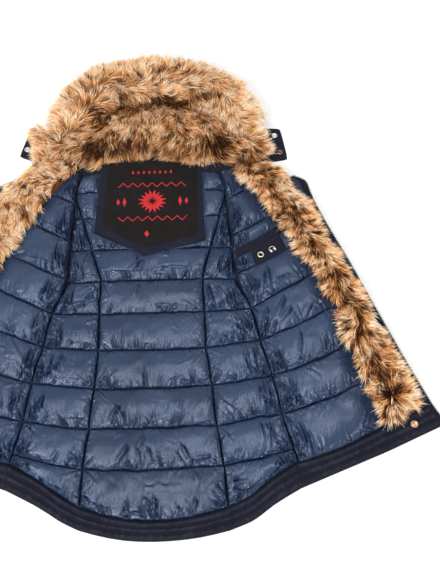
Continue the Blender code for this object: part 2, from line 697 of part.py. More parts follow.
def hem_snap(side):
    """Cap of the snap fastener at a lower front corner, on the hem facing."""
    low = SHELL + GAP + max(HEM_STEPS) + GAP
    snap(f"hem_snap_{SIDES[side]}", np.array(HEM_SNAP) * np.array([side, 1.0]), low, "snap_copper")


def main():
    clear_scene()
    plate("back_shell", back_shell_outline(), 0.0, SHELL, "shell_navy")
    back_lining_centre()
    neck_facing()
    hem_facing_back()
    pocket_panel()
    pocket_eyelet()
    hood_shell()
    hood_lining()
    hood_brim()
    for side in SIDES:
        back_lining_side(side)
        front(side)
        hem_facing_front(side)
        zip_side(side)
        fur_strip(side)
        sleeve(side)
        hood_tab(side)
        hem_snap(side)


main()
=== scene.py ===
"""Looks of the fur trimmed parka, laid open flat on its back with the lining up.

Frame: metres, +Z up, X = 0 on the centre back, +Y towards the hood.  The pattern's
tables and all plan coordinates are in millimetres; MM turns them into metres when
a mesh is made.  The right half is tabulated and the left half is its mirror image.

Every surface is a grid of rows (down the garment) and columns (across it), worked
out as whole arrays: a plan, a height for the layer that carries it, and on top the
swell of the quilting, its puckers and its creases.
"""

import bmesh
import bpy
import numpy as np
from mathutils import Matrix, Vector


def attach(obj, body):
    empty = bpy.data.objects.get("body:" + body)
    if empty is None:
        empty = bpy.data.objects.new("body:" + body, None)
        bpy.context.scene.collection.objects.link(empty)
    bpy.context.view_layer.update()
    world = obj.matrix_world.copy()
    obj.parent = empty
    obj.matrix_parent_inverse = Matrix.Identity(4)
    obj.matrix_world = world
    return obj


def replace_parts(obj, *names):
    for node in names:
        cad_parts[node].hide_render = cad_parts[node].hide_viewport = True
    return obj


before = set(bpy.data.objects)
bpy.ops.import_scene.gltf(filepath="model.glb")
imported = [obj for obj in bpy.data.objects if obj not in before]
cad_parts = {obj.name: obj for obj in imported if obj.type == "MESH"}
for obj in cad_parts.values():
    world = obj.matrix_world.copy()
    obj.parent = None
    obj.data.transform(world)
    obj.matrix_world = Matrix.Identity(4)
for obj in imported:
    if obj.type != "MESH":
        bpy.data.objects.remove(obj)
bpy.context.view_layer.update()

MM = 0.001
SIDES = {1: "right", -1: "left"}

# ---- the pattern, in mm

GAP = 0.3              # left between pieces that lie on or beside each other
SHELL = 2.0            # outer fabric
SEAM = 4.2             # lining and wadding pressed flat along a seam
HOOD_SHELL = 5.0       # padded back of the hood
ON_SHELL = SHELL + GAP              # underside of what lies on the outer fabric
ON_LINING = ON_SHELL + SEAM + GAP   # underside of what lies on the pressed lining
ON_HOOD = HOOD_SHELL + GAP          # underside of the pile in the hood
PINCH = 16.0           # distance over which a channel swells from a seam
PITCH = 68.0           # between two quilting lines
PANEL = 130.0          # usual width of a front's lining
HEM_STEPS = (2.4, 6.4, 3.2, 6.4, 3.2, 5.8, 2.0)   # heights across the hem band
FUR_EDGE = 1.90        # column where the lining ends and the zip tape starts
SHELL_EDGE = 1.96      # column where the outer fabric ends, below the zip tape
FUR_STRIP = 27.0       # height of the pile along the fronts
FUR_LINING = 38.0      # height of the pile inside the hood

BACK_COLUMNS = ("y_centre", "x_princess", "y_princess", "x_side", "y_side")
BACK_ROWS = (
    (312, 134, 304, 134, 304),
    (266, 143, 260, 143, 260),
    (200, 130, 203, 146, 203),
    (132, 109, 132, 150, 130),
    (66, 92, 66, 153, 64),
    (0, 91, 0, 174, 4),
    (-69, 92, -68, 185, -58),
    (-138, 97, -137, 199, -123),
    (-205, 103, -204, 209, -188),
    (-272, 110, -268, 222, -249),
    (-345, 113, -329, 226, -267),
)
BACK_PANEL_TOP = 1.22  # row at which the side panel starts between the seams
HEM_CENTRE, HEM_PRINCESS, HEM_SIDE = (0, -377), (114, -364), (229, -306)

FRONT_COLUMNS = ("y_in", "x_fur", "y_fur", "x_zip", "y_zip", "low_in", "low_mid", "low_zip")
FRONT_ROWS = (
    (304, 143, 307, 252, 319, 3, 6, 3),
    (229, 179, 250, 301, 264, 12, 14, 6),
    (144, 219, 187, 312, 222, 15, 17, 8),
    (101, 238, 152, 322, 190, 15, 18, 9),
    (66, 252, 118, 333, 158, 14, 18, 9),
    (4, 284, 60, 358, 92, 3, 16, 8),
    (-58, 309, -6, 383, 20, 0, 13, 6),
    (-123, 322, -80, 407, -48, 0, 10, 4),
    (-188, 342, -144, 431, -113, 0, 6, 1),
    (-267, 358, -221, 456, -179, 0, 0, 0),
)
HEM_FRONT, HEM_CORNER = (372, -254), (473, -213)
LEFT_RISE = 12.0       # how much further up the left half of the hem lies
HEM_FULLNESS = ((150.0, 26.0, 6.0), (-142.0, 22.0, 3.0))   # x, reach and drop of fuller places of the hem
BAND_SEAM_DROP, BAND_SEAM_REACH = 3.2, 130.0   # sag of the seam above the band, and its half width
ROW_BOW = 5.0          # sag of a front's quilting line between its ends
SHOULDER = ((0.85, 0.28, 4.5), (0.25, 0.30, -4.0))   # row, reach and rise of the zip edge up there
LAST_ROW = len(FRONT_ROWS) - 1.0

SLEEVE_COLUMNS = ("row", "fold_in", "fold_out")
SLEEVE_ROWS = (
    (0.08, 0.00, 0.50),
    (1.00, 0.00, 0.90),
    (2.00, 0.00, 1.22),
    (4.00, 0.00, 1.48),
    (5.00, 0.02, 1.55),
    (6.00, 0.14, 1.56),
    (7.00, 0.30, 1.56),
    (8.00, 0.45, 1.50),
    (8.45, 0.52, 1.40),
)

BRIM_COLUMNS = ("x", "y", "half_width", "height")
BRIM_ROWS = (
    (0, 520, 66, 58),
    (58, 515, 63, 57),
    (108, 497, 57, 55),
    (150, 465, 49, 52),
    (182, 420, 41, 47),
    (205, 372, 33, 42),
    (217, 336, 28, 36),
)
# Place round the brim, and the width along its edge that hair alone covers.
BRIM_INSET = ((-1, -0.93, -0.89, -0.86, -0.83, -0.8, -0.775, -0.71, -0.66, -0.5, -0.4, -0.3, -0.2, 0,
               0.25, 0.45, 0.6, 0.66, 0.71, 0.76, 0.87, 1),
              (26, 31, 30, 21, 2, 10, 46, 45, 36, 27, 22, 15, 17, 30,
               25, 16, 12, 9, 16, 37, 33, 14))
HOOD_LEAN = 0.050      # how far the hood leans to +X for each mm up

TAB_OUTLINE = {
    "right": ((226, 419), (266, 416), (274, 336), (231, 330)),
    "left": ((223, 430), (243, 437), (262, 362), (236, 350)),
}
TAB = 2.6              # two layers of a chin tab
TAB_SNAPS = {
    "right": {"upper": (252, 396, "snap_silver"), "lower": (259, 353, "snap_copper")},
    "left": {"upper": (235, 420, "snap_copper"), "lower": (247, 377, "snap_silver")},
}
HEM_SNAP = (419, -214)
SNAP_RADIUS, SNAP_HEIGHT = 6.0, 2.2

EYELET_AT, EYELET_OUTER, EYELET_INNER = (197, 101), 6.2, 2.8
FACING_LAID = ((-2, 336), (-98, 334), (-106, 172), (-12, 120), (99, 148), (101, 332))
LABEL_LAID = ((-2, 335), (-85, 333), (-90, 184), (-12, 135), (86, 160), (93, 331))
FACING_SWELL, SHEET, LABEL_SHEET = 2.4, 1.0, 0.8   # lining's swell below the facing, and both cloths
LABEL_GAP = 0.25
STAR_AT = (3.0, 236.0)
MOTIF_SIDES = ((-65.0, 15.0), (-53.0, 22.0), (53.0, 22.0), (65.0, 15.0))   # place from the star, length
POCKET_ROW = 3         # quilting line that gives way to the pocket's upper edge
POCKET = (             # name, first and last row and column, flat size in metres
    ("welt", (2.64, 3.13), (0.03, 1.02), (0.090, 0.024)),
    ("patch", (3.16, 4.03), (0.34, 0.94), (0.066, 0.038)),
)
POCKET_SHEET = 1.8
PICTOGRAM_AT, PICTOGRAM = (219, 112), 5.8
EDGE_STITCH = 2.6      # distance of a sheet's stitching from its edge
ZIP_STEP = 3.0         # from tooth to tooth

STITCH, STITCH_STEP, THREAD = 2.5, 3.5, 0.38   # length, spacing and radius


# ---- numbers on a plan

def column(rows, names, name):
    """One named column of a table."""
    return np.array([row[names.index(name)] for row in rows], dtype=float)


def between(values, at):
    """Monotone cubic through values at 0, 1, 2 ..., read at the given places."""
    values = np.asarray(values, dtype=float)
    step = np.diff(values)
    slope = np.zeros_like(values)
    product = step[:-1] * step[1:]
    total = np.where(product > 0, step[:-1] + step[1:], 1.0)
    slope[1:-1] = np.where(product > 0, 2.0 * product / total, 0.0)
    slope[0], slope[-1] = step[0], step[-1]
    at = np.clip(np.asarray(at, dtype=float), 0.0, len(values) - 1.0)
    low = np.minimum(at.astype(int), len(values) - 2)
    t = at - low
    return ((1 + 2 * t) * (1 - t) ** 2 * values[low] + t * (1 - t) ** 2 * slope[low]
            + t * t * (3 - 2 * t) * values[low + 1] + t * t * (t - 1) * slope[low + 1])


def ease(low, high, value):
    """0 below low, 1 above high, smooth in between."""
    t = np.clip((np.asarray(value, dtype=float) - low) / (high - low), 0.0, 1.0)
    return t * t * (3 - 2 * t)


def bump(value, place, reach, power=2):
    """1 at a place, about a third at its reach to either side, and soon 0 beyond."""
    return np.exp(-((value - place) / reach) ** power)


def swell(distance):
    """0 at a seam, 1 from PINCH away: a quarter round."""
    t = np.clip(distance / PINCH, 0.0, 1.0)
    return np.sqrt(1.0 - (1.0 - t) ** 2)


def lattice(ix, iy, seed):
    """Repeatable random value from -1 to 1 for a pair of whole numbers: a mixed product."""
    mixed = (ix.astype(np.int64) * 374761393 + iy.astype(np.int64) * 668265263
             + seed * 974634777) & 0xFFFFFFFF
    mixed = ((mixed ^ (mixed >> 13)) * 1274126177) & 0xFFFFFFFF
    return ((mixed ^ (mixed >> 16)) & 0xFFFFFF) / 0x7FFFFF - 1.0


def noise(x, y, seed=0):
    """Smooth random surface from -1 to 1: lattice values blended by a cubic step."""
    x, y = np.broadcast_arrays(np.asarray(x, dtype=float), np.asarray(y, dtype=float))
    ix, iy = np.floor(x), np.floor(y)
    u, v = x - ix, y - iy
    u, v = u * u * (3 - 2 * u), v * v * (3 - 2 * v)
    low = lattice(ix, iy, seed) * (1 - u) + lattice(ix + 1, iy, seed) * u
    high = lattice(ix, iy + 1, seed) * (1 - u) + lattice(ix + 1, iy + 1, seed) * u
    return low * (1 - v) + high * v


def ridges(x, y, seed, width=0.45):
    """Narrow ridges, 1 on their crests: where a smooth random surface crosses zero."""
    return np.clip(1.0 - np.abs(noise(x, y, seed)) / width, 0.0, 1.0) ** 1.4


def sway(plan):
    """Small unevenness of sewn lines, the same for every piece at one place."""
    x, y = plan[..., 0], plan[..., 1]
    moved = plan.copy()
    moved[..., 0] += 1.1 * noise(x / 47, y / 23, 5)
    moved[..., 1] += 1.3 * noise(x / 24, y / 51, 6) + 0.7 * noise(x / 9, y / 40, 7)
    return moved


def back_point(name, at):
    """One column of the back's table, at places down its rows."""
    return between(column(BACK_ROWS, BACK_COLUMNS, name), at)


def hem_line(x):
    """Lower edge of the back: a flat curve that rises towards the side seams."""
    share = np.abs(x) / HEM_PRINCESS[0]
    rise = HEM_PRINCESS[1] - HEM_CENTRE[1]
    outer = (HEM_SIDE[1] - HEM_PRINCESS[1]) / (HEM_SIDE[0] - HEM_PRINCESS[0])
    curve = HEM_CENTRE[1] + rise * share ** 2.4
    return np.where(share <= 1, curve, HEM_PRINCESS[1] + outer * (np.abs(x) - HEM_PRINCESS[0]))


def back_edge_x(y):
    """Distance from the centre of the armhole and side seam at a place up the back."""
    at = np.linspace(len(BACK_ROWS) - 1, 0, 201)
    return np.interp(y, back_point("y_side", at), back_point("x_side", at))


def front_point(name, at):
    """One column of the front's table, at places down its rows."""
    return between(column(FRONT_ROWS, FRONT_COLUMNS, name), at)


def carried(at):
    """0 where a front's inner edge lies on the surface, 1 where the sleeve carries it."""
    return ease(3.0, 9.0, front_point("low_in", at))


def front_plan(at, across):
    """Plan points: across 0 is the inner edge, 1 the fur line and 2 the zip edge."""
    at, across = np.broadcast_arrays(np.asarray(at, dtype=float), np.asarray(across, dtype=float))
    x_fur, x_zip = (front_point(name, at) for name in ("x_fur", "x_zip"))
    y_in, y_fur, y_zip = (front_point(name, at) for name in ("y_in", "y_fur", "y_zip"))
    x_in = back_edge_x(y_in)
    inner, outer = np.clip(across, 0, 1), np.clip(across - 1, 0, 1)
    x_in = x_in + GAP - 2.0 * carried(at)
    x = x_in + (x_fur - x_in) * inner + (x_zip - x_fur) * outer
    y = y_in + (y_fur - y_in) * inner + (y_zip - y_fur) * outer
    bow = ROW_BOW * np.sin(np.pi * inner) * (x_fur - x_in) / PANEL
    shoulder = outer * sum(rise * bump(at, row, reach) for row, reach, rise in SHOULDER)
    return np.stack([x + 0.6 * shoulder, y + shoulder - bow], axis=-1)


def front_low(at, across):
    """Height of a front's underside: the sleeve that lies below carries it."""
    low_in, low_mid, low_zip = (front_point(f"low_{name}", at) for name in ("in", "mid", "zip"))
    rise, fall = ease(0.0, 0.45, across), ease(1.2, 2.0, across)
    return np.maximum(low_in + (low_mid - low_in) * rise + (low_zip - low_mid) * fall, 0.0)


def front_hem_plan(across, share):
    """Plan of the band between the last quilting line (share 0) and the hem (share 1)."""
    across, share = np.broadcast_arrays(np.asarray(across, dtype=float), np.asarray(share, dtype=float))
    top = front_plan(LAST_ROW, across)
    inner, outer = np.clip(across, 0, 1)[..., None], np.clip(across - 1, 0, 1)[..., None]
    start, middle, end = (np.array(point, dtype=float) for point in (HEM_SIDE, HEM_FRONT, HEM_CORNER))
    start = start + np.array([GAP, 0.0])
    low = start + (middle - start) * inner + (end - middle) * outer
    return ruled(top, low, share)


def neck_line(x):
    """Seam of the hood: the top edge of the back and of both fronts."""
    x = np.abs(x)
    y_centre, x_back, y_back = BACK_ROWS[0][:3]
    y_in, x_fur, y_fur, x_zip, y_zip = FRONT_ROWS[0][:5]
    back = y_centre + (y_back - y_centre) * (x / x_back) ** 2
    return np.where(x < x_back, back, np.interp(x, (x_back, x_fur, x_zip), (y_in, y_fur, y_zip)))


def brim_line(at):
    """Centre line, half width and height of the brim; at runs from -1 to 1."""
    rows = np.abs(at) * (len(BRIM_ROWS) - 1)
    x, y, half, height = (between(column(BRIM_ROWS, BRIM_COLUMNS, name), rows)
                          for name in BRIM_COLUMNS)
    lean = HOOD_LEAN * (y - BRIM_ROWS[-1][1])
    return np.stack([np.sign(at) * x + lean, y], axis=-1), half, height


def brim_frame(at):
    """Centre line with its outward normal in plan, half width and height."""
    step = 0.01
    centre, half, height = brim_line(at)
    ahead, _, _ = brim_line(np.clip(at + step, -1, 1))
    behind, _, _ = brim_line(np.clip(at - step, -1, 1))
    along = unit(ahead - behind)
    return centre, np.stack([-along[..., 1], along[..., 0]], axis=-1), half, height


def settled(points):
    """Points of the laid garment, from those of the even pattern: the hem's left half lies
    further up than its right, it is fuller at two places, and the seam above it sags."""
    x, y = points[..., 0], points[..., 1]
    corner = np.array([HEM_SIDE, HEM_FRONT, HEM_CORNER], dtype=float)
    beyond = np.interp(np.abs(x), corner[:, 0], corner[:, 1])
    hem = np.where(np.abs(x) < HEM_SIDE[0], hem_line(x), beyond)
    above = y - hem
    change = LEFT_RISE * ease(-10.0, 200.0, -x)
    for place, reach, drop in HEM_FULLNESS:
        change = change - drop * bump(x, place, reach)
    seam = BAND_SEAM_DROP * bump(x, 0.0, BAND_SEAM_REACH, 4) * ease(8.0, 28.0, above)
    moved = np.array(points, dtype=float)
    moved[..., 1] += (change - seam) * (1.0 - ease(35.0, 100.0, above))
    return moved


def unit(vectors):
    """Vectors scaled to a length of 1."""
    return vectors / np.maximum(np.linalg.norm(vectors, axis=-1, keepdims=True), 1e-9)


def outside(outline, x, y):
    """Distance outside a convex outline, negative inside it."""
    outline = np.asarray(outline, dtype=float)
    along = unit(np.roll(outline, -1, axis=0) - outline)
    normal = np.stack([along[:, 1], -along[:, 0]], axis=1)
    normal *= np.sign(((outline - outline.mean(axis=0)) * normal).sum(axis=1, keepdims=True))
    gaps = [(x - corner[0]) * out[0] + (y - corner[1]) * out[1] for corner, out in zip(outline, normal)]
    return np.max(gaps, axis=0)


def ruled(start, end, share):
    """Points at a share of the way from one edge's points to the other's."""
    return start + (end - start) * share[..., None]


def path_length(path):
    """Distance of each point of a path from its start, along the path."""
    return np.concatenate([[0.0], np.cumsum(np.linalg.norm(np.diff(path, axis=0), axis=1))])


def read_at(values, length, spots):
    """Columns of values along a path, read at distances from its start."""
    return np.stack([np.interp(spots, length, part) for part in values.T], axis=1)


# ---- meshes

LATHE_SIDES = 40


def add_piece(name, points, faces, material, slot, side=1, attributes=None, angle=50.0):
    """Piece from points in mm and lists of faces, mirrored in X on side -1; attributes are
    named values of its points."""
    mesh = bpy.data.meshes.new(name)
    if side < 0:
        faces = [face[::-1] for face in faces]
    mesh.from_pydata((settled(np.asarray(points) * [side, 1.0, 1.0]) * MM).tolist(), [], faces)
    mesh.shade_smooth()
    mesh.set_sharp_from_angle(angle=np.radians(angle))
    for title, values in (attributes or {}).items():
        store(mesh, title, values)
    return coat_piece(name, mesh, material, slot)


def coat_piece(name, mesh, material, slot):
    """Object of a mesh that belongs to the coat, in its material."""
    mesh.materials.append(material)
    piece = add_object(name, mesh)
    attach(piece, "root")
    return piece


def add_object(name, data):
    """Object of a mesh, a lamp or a camera."""
    thing = bpy.data.objects.new(name, data)
    bpy.context.scene.collection.objects.link(thing)
    return thing


def store(mesh, title, values):
    """Point attribute: a number for each point, or a colour if three."""
    values = np.asarray(values, dtype=np.float32)
    if values.ndim == 1:
        mesh.attributes.new(title, "FLOAT", "POINT").data.foreach_set("value", values)
    else:
        colours = np.ones((len(values), 4), dtype=np.float32)
        colours[:, :3] = values
        mesh.attributes.new(title, "FLOAT_COLOR", "POINT").data.foreach_set("color", colours.ravel())


def coarse(count, skip):
    """Every skip-th number below count, and the last one."""
    return sorted({*range(0, count, skip), count - 1})


def closed_grid(name, plan, height, low, material, slot, side=1, skip=6, attributes=None):
    """Closed solid over a plan (rows, columns, 2): a fine top at a height, and a coarse
    underside at height low.

    The underside has every skip-th row and column, and one face of each wall spans
    the fine points between two of them.
    """
    rows, columns = plan.shape[:2]
    top, lower = (np.dstack([plan, np.broadcast_to(part, (rows, columns))]) for part in (height, low))
    index = np.arange(rows * columns).reshape(rows, columns)
    down, along = coarse(rows, skip), coarse(columns, skip)
    under = rows * columns + np.arange(len(down) * len(along)).reshape(len(down), len(along))
    faces = four_sided(index[:-1, :-1], index[1:, :-1], index[1:, 1:], index[:-1, 1:])
    faces += four_sided(under[:-1, :-1], under[:-1, 1:], under[1:, 1:], under[1:, :-1])
    walls = (
        (index[:, 0], under[:, 0], down),
        (index[-1, :], under[-1, :], along),
        (index[::-1, -1], under[::-1, -1], [rows - 1 - row for row in reversed(down)]),
        (index[0, ::-1], under[0, ::-1], [columns - 1 - place for place in reversed(along)]),
    )
    for fine, lower_rim, marks in walls:
        for place, (start, end) in enumerate(zip(marks[:-1], marks[1:])):
            rim = fine[start:end + 1][::-1].tolist()
            faces.append([*rim, int(lower_rim[place]), int(lower_rim[place + 1])])
    points = np.vstack([top.reshape(-1, 3), lower[np.ix_(down, along)].reshape(-1, 3)])
    across, ahead = plan[rows // 2, columns // 2 - 1:columns // 2 + 1]
    below = plan[rows // 2 + 1, columns // 2 - 1]
    if np.cross(below - across, ahead - across) < 0:
        faces = [face[::-1] for face in faces]
    values = {title: np.concatenate([part.reshape(-1, *grid.shape[2:])
                                     for part in (grid, grid[np.ix_(down, along)])])
              for title, grid in (attributes or {}).items()}
    return add_piece(name, points, faces, material, slot, side, values)


def four_sided(*corners):
    """Four-sided faces from arrays of their first, second, third and fourth corners."""
    return np.stack(corners, axis=-1).reshape(-1, 4).tolist()


def repeated(shape, size, count):
    """Faces of a shape that has size points, for count copies one after the other."""
    return [[base + place for place in face] for base in range(0, size * count, size) for face in shape]


def lathe(name, centre, low, section, material, slot):
    """Turned solid: a closed section of (radius, height) pairs round an upright axis."""
    angles = np.linspace(0.0, 2.0 * np.pi, LATHE_SIDES, endpoint=False)
    radius, height = np.array(section, dtype=float).T
    points = np.stack([centre[0] + np.outer(np.cos(angles), radius),
                       centre[1] + np.outer(np.sin(angles), radius),
                       np.tile(low + height, (LATHE_SIDES, 1))], axis=-1).reshape(-1, 3)
    index = np.arange(len(points)).reshape(LATHE_SIDES, -1)
    there, after = np.roll(index, -1, axis=0), np.roll(index, -1, axis=1)
    beyond = np.roll(there, -1, axis=1)
    piece = add_piece(name, points, four_sided(index, there, beyond, after), material, slot)
    close_axis(piece.data)
    return piece


def round_ring(middle, half_width, half_height, count):
    """Section of a ring: an oval of count points round a radius, standing on its underside."""
    return [(middle + half_width * np.cos(turn), half_height * (1.0 + np.sin(turn)))
            for turn in np.linspace(0.0, 2.0 * np.pi, count, endpoint=False)]


def close_axis(mesh):
    """Joins the points of a turned solid that lie on its axis."""
    work = bmesh.new()
    work.from_mesh(mesh)
    bmesh.ops.remove_doubles(work, verts=work.verts, dist=1e-6)
    bmesh.ops.recalc_face_normals(work, faces=work.faces)
    work.to_mesh(mesh)
    work.free()


def thread_run(name, paths, material, slot):
    """Row of stitches along each path (points, 3): thin three-sided spindles end to end."""
    centres, heads = [], []
    for path in paths:
        length = path_length(path)
        at = np.arange(STITCH_STEP / 2, length[-1], STITCH_STEP)
        spots, ahead = read_at(path, length, at), read_at(path, length, at + 0.5)
        centres.append(spots)
        heads.append(unit(ahead - spots + np.array([1e-6, 0.0, 0.0])))
    centres, heads = np.vstack(centres), np.vstack(heads)
    beside = unit(np.cross(heads, [0.0, 0.0, 1.0]))
    above = np.cross(beside, heads)
    ring = np.linspace(0.0, 2.0 * np.pi, 3, endpoint=False) + np.pi / 2
    spindle = [(end, np.cos(turn), np.sin(turn)) for end in (-0.28, 0.28) for turn in ring]
    spindle = np.array([(-0.5, 0.0, 0.0), *spindle, (0.5, 0.0, 0.0)])
    points = (centres[:, None] + heads[:, None] * spindle[:, :1] * STITCH
              + THREAD * (beside[:, None] * spindle[:, 1:2] + above[:, None] * spindle[:, 2:]))
    shape = [(0, 1 + (k + 1) % 3, 1 + k) for k in range(3)]
    shape += [(1 + k, 1 + (k + 1) % 3, 4 + (k + 1) % 3, 4 + k) for k in range(3)]
    shape += [(7, 4 + k, 4 + (k + 1) % 3) for k in range(3)]
    faces = repeated(shape, len(spindle), len(centres))
    return add_piece(name, points.reshape(-1, 3), faces, material, slot)


# ---- finishes

def operator(operation, reflected=False):
    """Method that adds a Math node of a Number and another value."""
    def method(self, other):
        first, second = (other, self) if reflected else (self, other)
        return self.finish.node("ShaderNodeMath", {"operation": operation}, {0: first, 1: second})
    return method


class Number:
    """An output of a shader node; arithmetic on it adds Math nodes."""

    def __init__(self, finish, socket):
        self.finish, self.socket = finish, socket

    __add__, __radd__ = operator("ADD"), operator("ADD", True)
    __sub__, __rsub__ = operator("SUBTRACT"), operator("SUBTRACT", True)
    __mul__, __rmul__ = operator("MULTIPLY"), operator("MULTIPLY", True)
    __pow__ = operator("POWER")


class Finish:
    """A material and its nodes.  Constants are set on the shader's own sockets."""

    def __init__(self, name, **constants):
        self.material = bpy.data.materials.new(name)
        self.material.use_nodes = True
        self.tree = self.material.node_tree
        self.shader = self.tree.nodes["Principled BSDF"]
        for title, value in constants.items():
            self.shader.inputs[title.replace("_", " ")].default_value = value

    def node(self, kind, settings=None, inputs=None, output=0):
        """Adds a node: its settings or ramp stops first, then its inputs, values or links."""
        node = self.tree.nodes.new(kind)
        for title, value in (settings or {}).items():
            if title == "stops":
                self.stops(node.color_ramp, value)
            else:
                setattr(node, title, value)
        for place, value in (inputs or {}).items():
            self.join(value, node.inputs[place])
        return Number(self, node.outputs[output])

    def stops(self, ramp, values):
        """Sets a colour ramp to pairs of a place and a colour."""
        values = list(values)
        while len(ramp.elements) < len(values):
            ramp.elements.new(1.0)
        for element, (place, colour) in zip(ramp.elements, values):
            element.position, element.color = place, (*colour, 1.0)

    def join(self, value, socket):
        """Links a Number to a socket, or sets the socket to a value."""
        if isinstance(value, Number):
            self.tree.links.new(value.socket, socket)
        else:
            socket.default_value = value

    def feed(self, title, value):
        """Joins a value to one of the shader's own sockets."""
        self.join(value, self.shader.inputs[title])

    def place(self, stretch=(1.0, 1.0, 1.0), turn=0.0):
        """Object coordinates in metres, turned about Z and stretched."""
        coordinates = self.node("ShaderNodeTexCoord", output="Object")
        return self.node("ShaderNodeMapping", None,
                         {"Vector": coordinates, "Scale": stretch, "Rotation": (0.0, 0.0, turn)})

    def cloud(self, scale, detail=2.0, stretch=(1.0, 1.0, 1.0), turn=0.0):
        """Smooth random value around 0.5, with scale features to the metre."""
        place = self.place(stretch, turn)
        return self.node("ShaderNodeTexNoise", None, {"Vector": place, "Scale": scale, "Detail": detail},
                         output="Fac")

    def facets(self, scale, stretch, turn):
        """Flat faced pyramids over irregular cells, scale of them to the metre: crumpled cloth.

        The places are moved by up to 6 mm in a smooth random way, so that no cell is straight."""
        place = self.place(stretch, turn)
        bend = self.node("ShaderNodeTexNoise", None, {"Vector": place, "Scale": 45.0}, output="Color")
        bent = self.node("ShaderNodeVectorMath", {"operation": "MULTIPLY_ADD"},
                         {0: bend, 1: (0.012, 0.012, 0.012), 2: place}, output="Vector")
        return self.node("ShaderNodeTexVoronoi", {"feature": "DISTANCE_TO_EDGE"},
                         {"Vector": bent, "Scale": scale}, output="Distance")

    def bands(self, scale, turn=0.0):
        """Straight waves from 0 to 1 across X turned by an angle, scale of them to the metre."""
        return self.node("ShaderNodeTexWave", {"bands_direction": "X"},
                         {"Vector": self.place(turn=turn), "Scale": scale * WAVE_UNIT, "Distortion": 0.0},
                         output="Fac")

    def mix(self, share, first, second, blend="MIX"):
        """Colour between two colours, or between the first and its product with the second."""
        return self.node("ShaderNodeMix", {"data_type": "RGBA", "blend_type": blend},
                         {0: share, 6: first, 7: second}, output=2)

    def value(self, title, output="Fac"):
        """A named value stored at the points of the piece."""
        return self.node("ShaderNodeAttribute", {"attribute_name": title}, output=output)

    def spread(self, value, low, high, start=0.0, end=1.0):
        """Value carried from the range low to high onto start to end, and held there."""
        return self.node("ShaderNodeMapRange", None,
                         {"Value": value, "From Min": low, "From Max": high,
                          "To Min": start, "To Max": end})

    def relief(self, height, distance):
        """Bump of a height from 0 to 1 that stands for a distance in metres."""
        self.feed("Normal", self.node("ShaderNodeBump", None,
                                      {"Height": height, "Distance": distance, "Strength": 1.0}))


WAVE_UNIT = 1.0 / 3.1831   # a Wave texture of scale 1 has 20 / 2 pi bands to the metre
SLATE, SLATE_PALE = (0.0120, 0.0268, 0.062, 1), (0.0275, 0.048, 0.098, 1)
# deep blue of the seams' lines, part thread and part painted shade; also the painted shade of crease
# troughs, seam crossings, armholes and the fur's edge
SLATE_DEEP = (0.0014, 0.0066, 0.025, 1)
NAVY, NAVY_DEEP = (0.0108, 0.0117, 0.0262, 1), (0.0048, 0.0054, 0.0132, 1)
# paler navy painted as highlight on the hem band's ridges
NAVY_RIDGE_HIGHLIGHT = (0.019, 0.0205, 0.039, 1)
LABEL_BLACK, LABEL_WORN = (0.0036, 0.0026, 0.0022, 1), (0.0088, 0.0062, 0.0052, 1)
RED, RED_PALE = (0.640, 0.022, 0.032, 1), (0.75, 0.06, 0.06, 1)
NAVY_THREAD, MOULDED, PRINT = (0.012, 0.014, 0.030, 1), (0.010, 0.011, 0.022, 1), (0.75, 0.76, 0.80, 1)
METALS = {   # name, plating and its dull marks
    "snap_silver": ("silver_snap", (0.93, 0.91, 0.87, 1), (0.74, 0.72, 0.68, 1)),
    "snap_copper": ("copper_snap", (0.74, 0.48, 0.32, 1), (0.42, 0.25, 0.16, 1)),
    # the socket rims' copper, darkened as painted shade
    "shaded_snap_rim": ("copper_snap_rim", (0.36, 0.25, 0.19, 1), (0.16, 0.10, 0.07, 1)),
    "eyelet": ("pale_gilt", (0.88, 0.80, 0.60, 1), (0.55, 0.47, 0.30, 1)),
}
TONE_STOPS = (0.0, 0.35, 0.65, 1.0)   # tones of the pile, and its colours there from root to tip
ROOT = ((0.008, 0.002, 0.001), (0.028, 0.008, 0.003), (0.095, 0.031, 0.009), (0.480, 0.250, 0.105))
MIDDLE = ((0.022, 0.007, 0.003), (0.250, 0.074, 0.017), (0.720, 0.290, 0.078), (1.000, 0.710, 0.395))
TIP = ((0.090, 0.030, 0.011), (0.760, 0.370, 0.130), (1.000, 0.765, 0.465), (1.000, 0.975, 0.870))


def lining_finish():
    """Quilted nylon: slate blue and glossy, deep blue in the seams, crumpled beside them.
    The deep blue is part thread and part painted shade in the seams' valleys; it is also painted
    as shade in crease troughs, at seam crossings, along the armholes and beside and under the fur,
    and painted shade darkens the cloth at both ends.
    """
    finish = Finish("quilted_nylon", Specular_IOR_Level=0.66, Specular_Tint=(0.77, 0.84, 1.0, 1.0))
    pale = finish.spread(finish.cloud(11.0, 3.0), 0.35, 0.68) + finish.bands(2.2) * 0.42
    # painted shade: the cloth is darker beyond about 0.26 m above and below the middle, where less light
    # falls on the lowest channel and the top
    pale = pale - finish.spread(finish.bands(1.3, np.pi / 2), 0.75, 1.0) * 0.6
    cloth = finish.mix(pale, SLATE, SLATE_PALE)
    # seam: the seams' dark lines, part thread and part painted shade, with the painted shade of creases,
    # crossings, armholes and the fur's edge
    seam = finish.value("seam")
    line = finish.spread(seam, 0.05, 0.9) ** 2.2
    finish.feed("Base Color", finish.mix(line, cloth, SLATE_DEEP))
    finish.feed("Roughness", finish.spread(finish.cloud(26.0), 0.3, 0.7, 0.17, 0.36) + line * 0.3)
    crumple = finish.value("crumple") * finish.spread(finish.cloud(22.0), 0.38, 0.62)
    folds = finish.facets(62.0, (1.0, 0.5, 1.0), 0.25) + finish.facets(120.0, (1.0, 0.6, 1.0), -0.3) * 0.65
    crinkle = finish.cloud(120.0, 4.0, (1.0, 0.42, 1.0), 0.12)
    crinkle = crinkle * finish.spread(finish.cloud(16.0), 0.35, 0.7)
    weave = finish.bands(1400.0) * finish.bands(1400.0, np.pi / 2)
    finish.relief(folds * crumple * 1.9 + crinkle * 0.75 + weave * 0.02 - line * 0.25, 0.0032)
    return finish.material


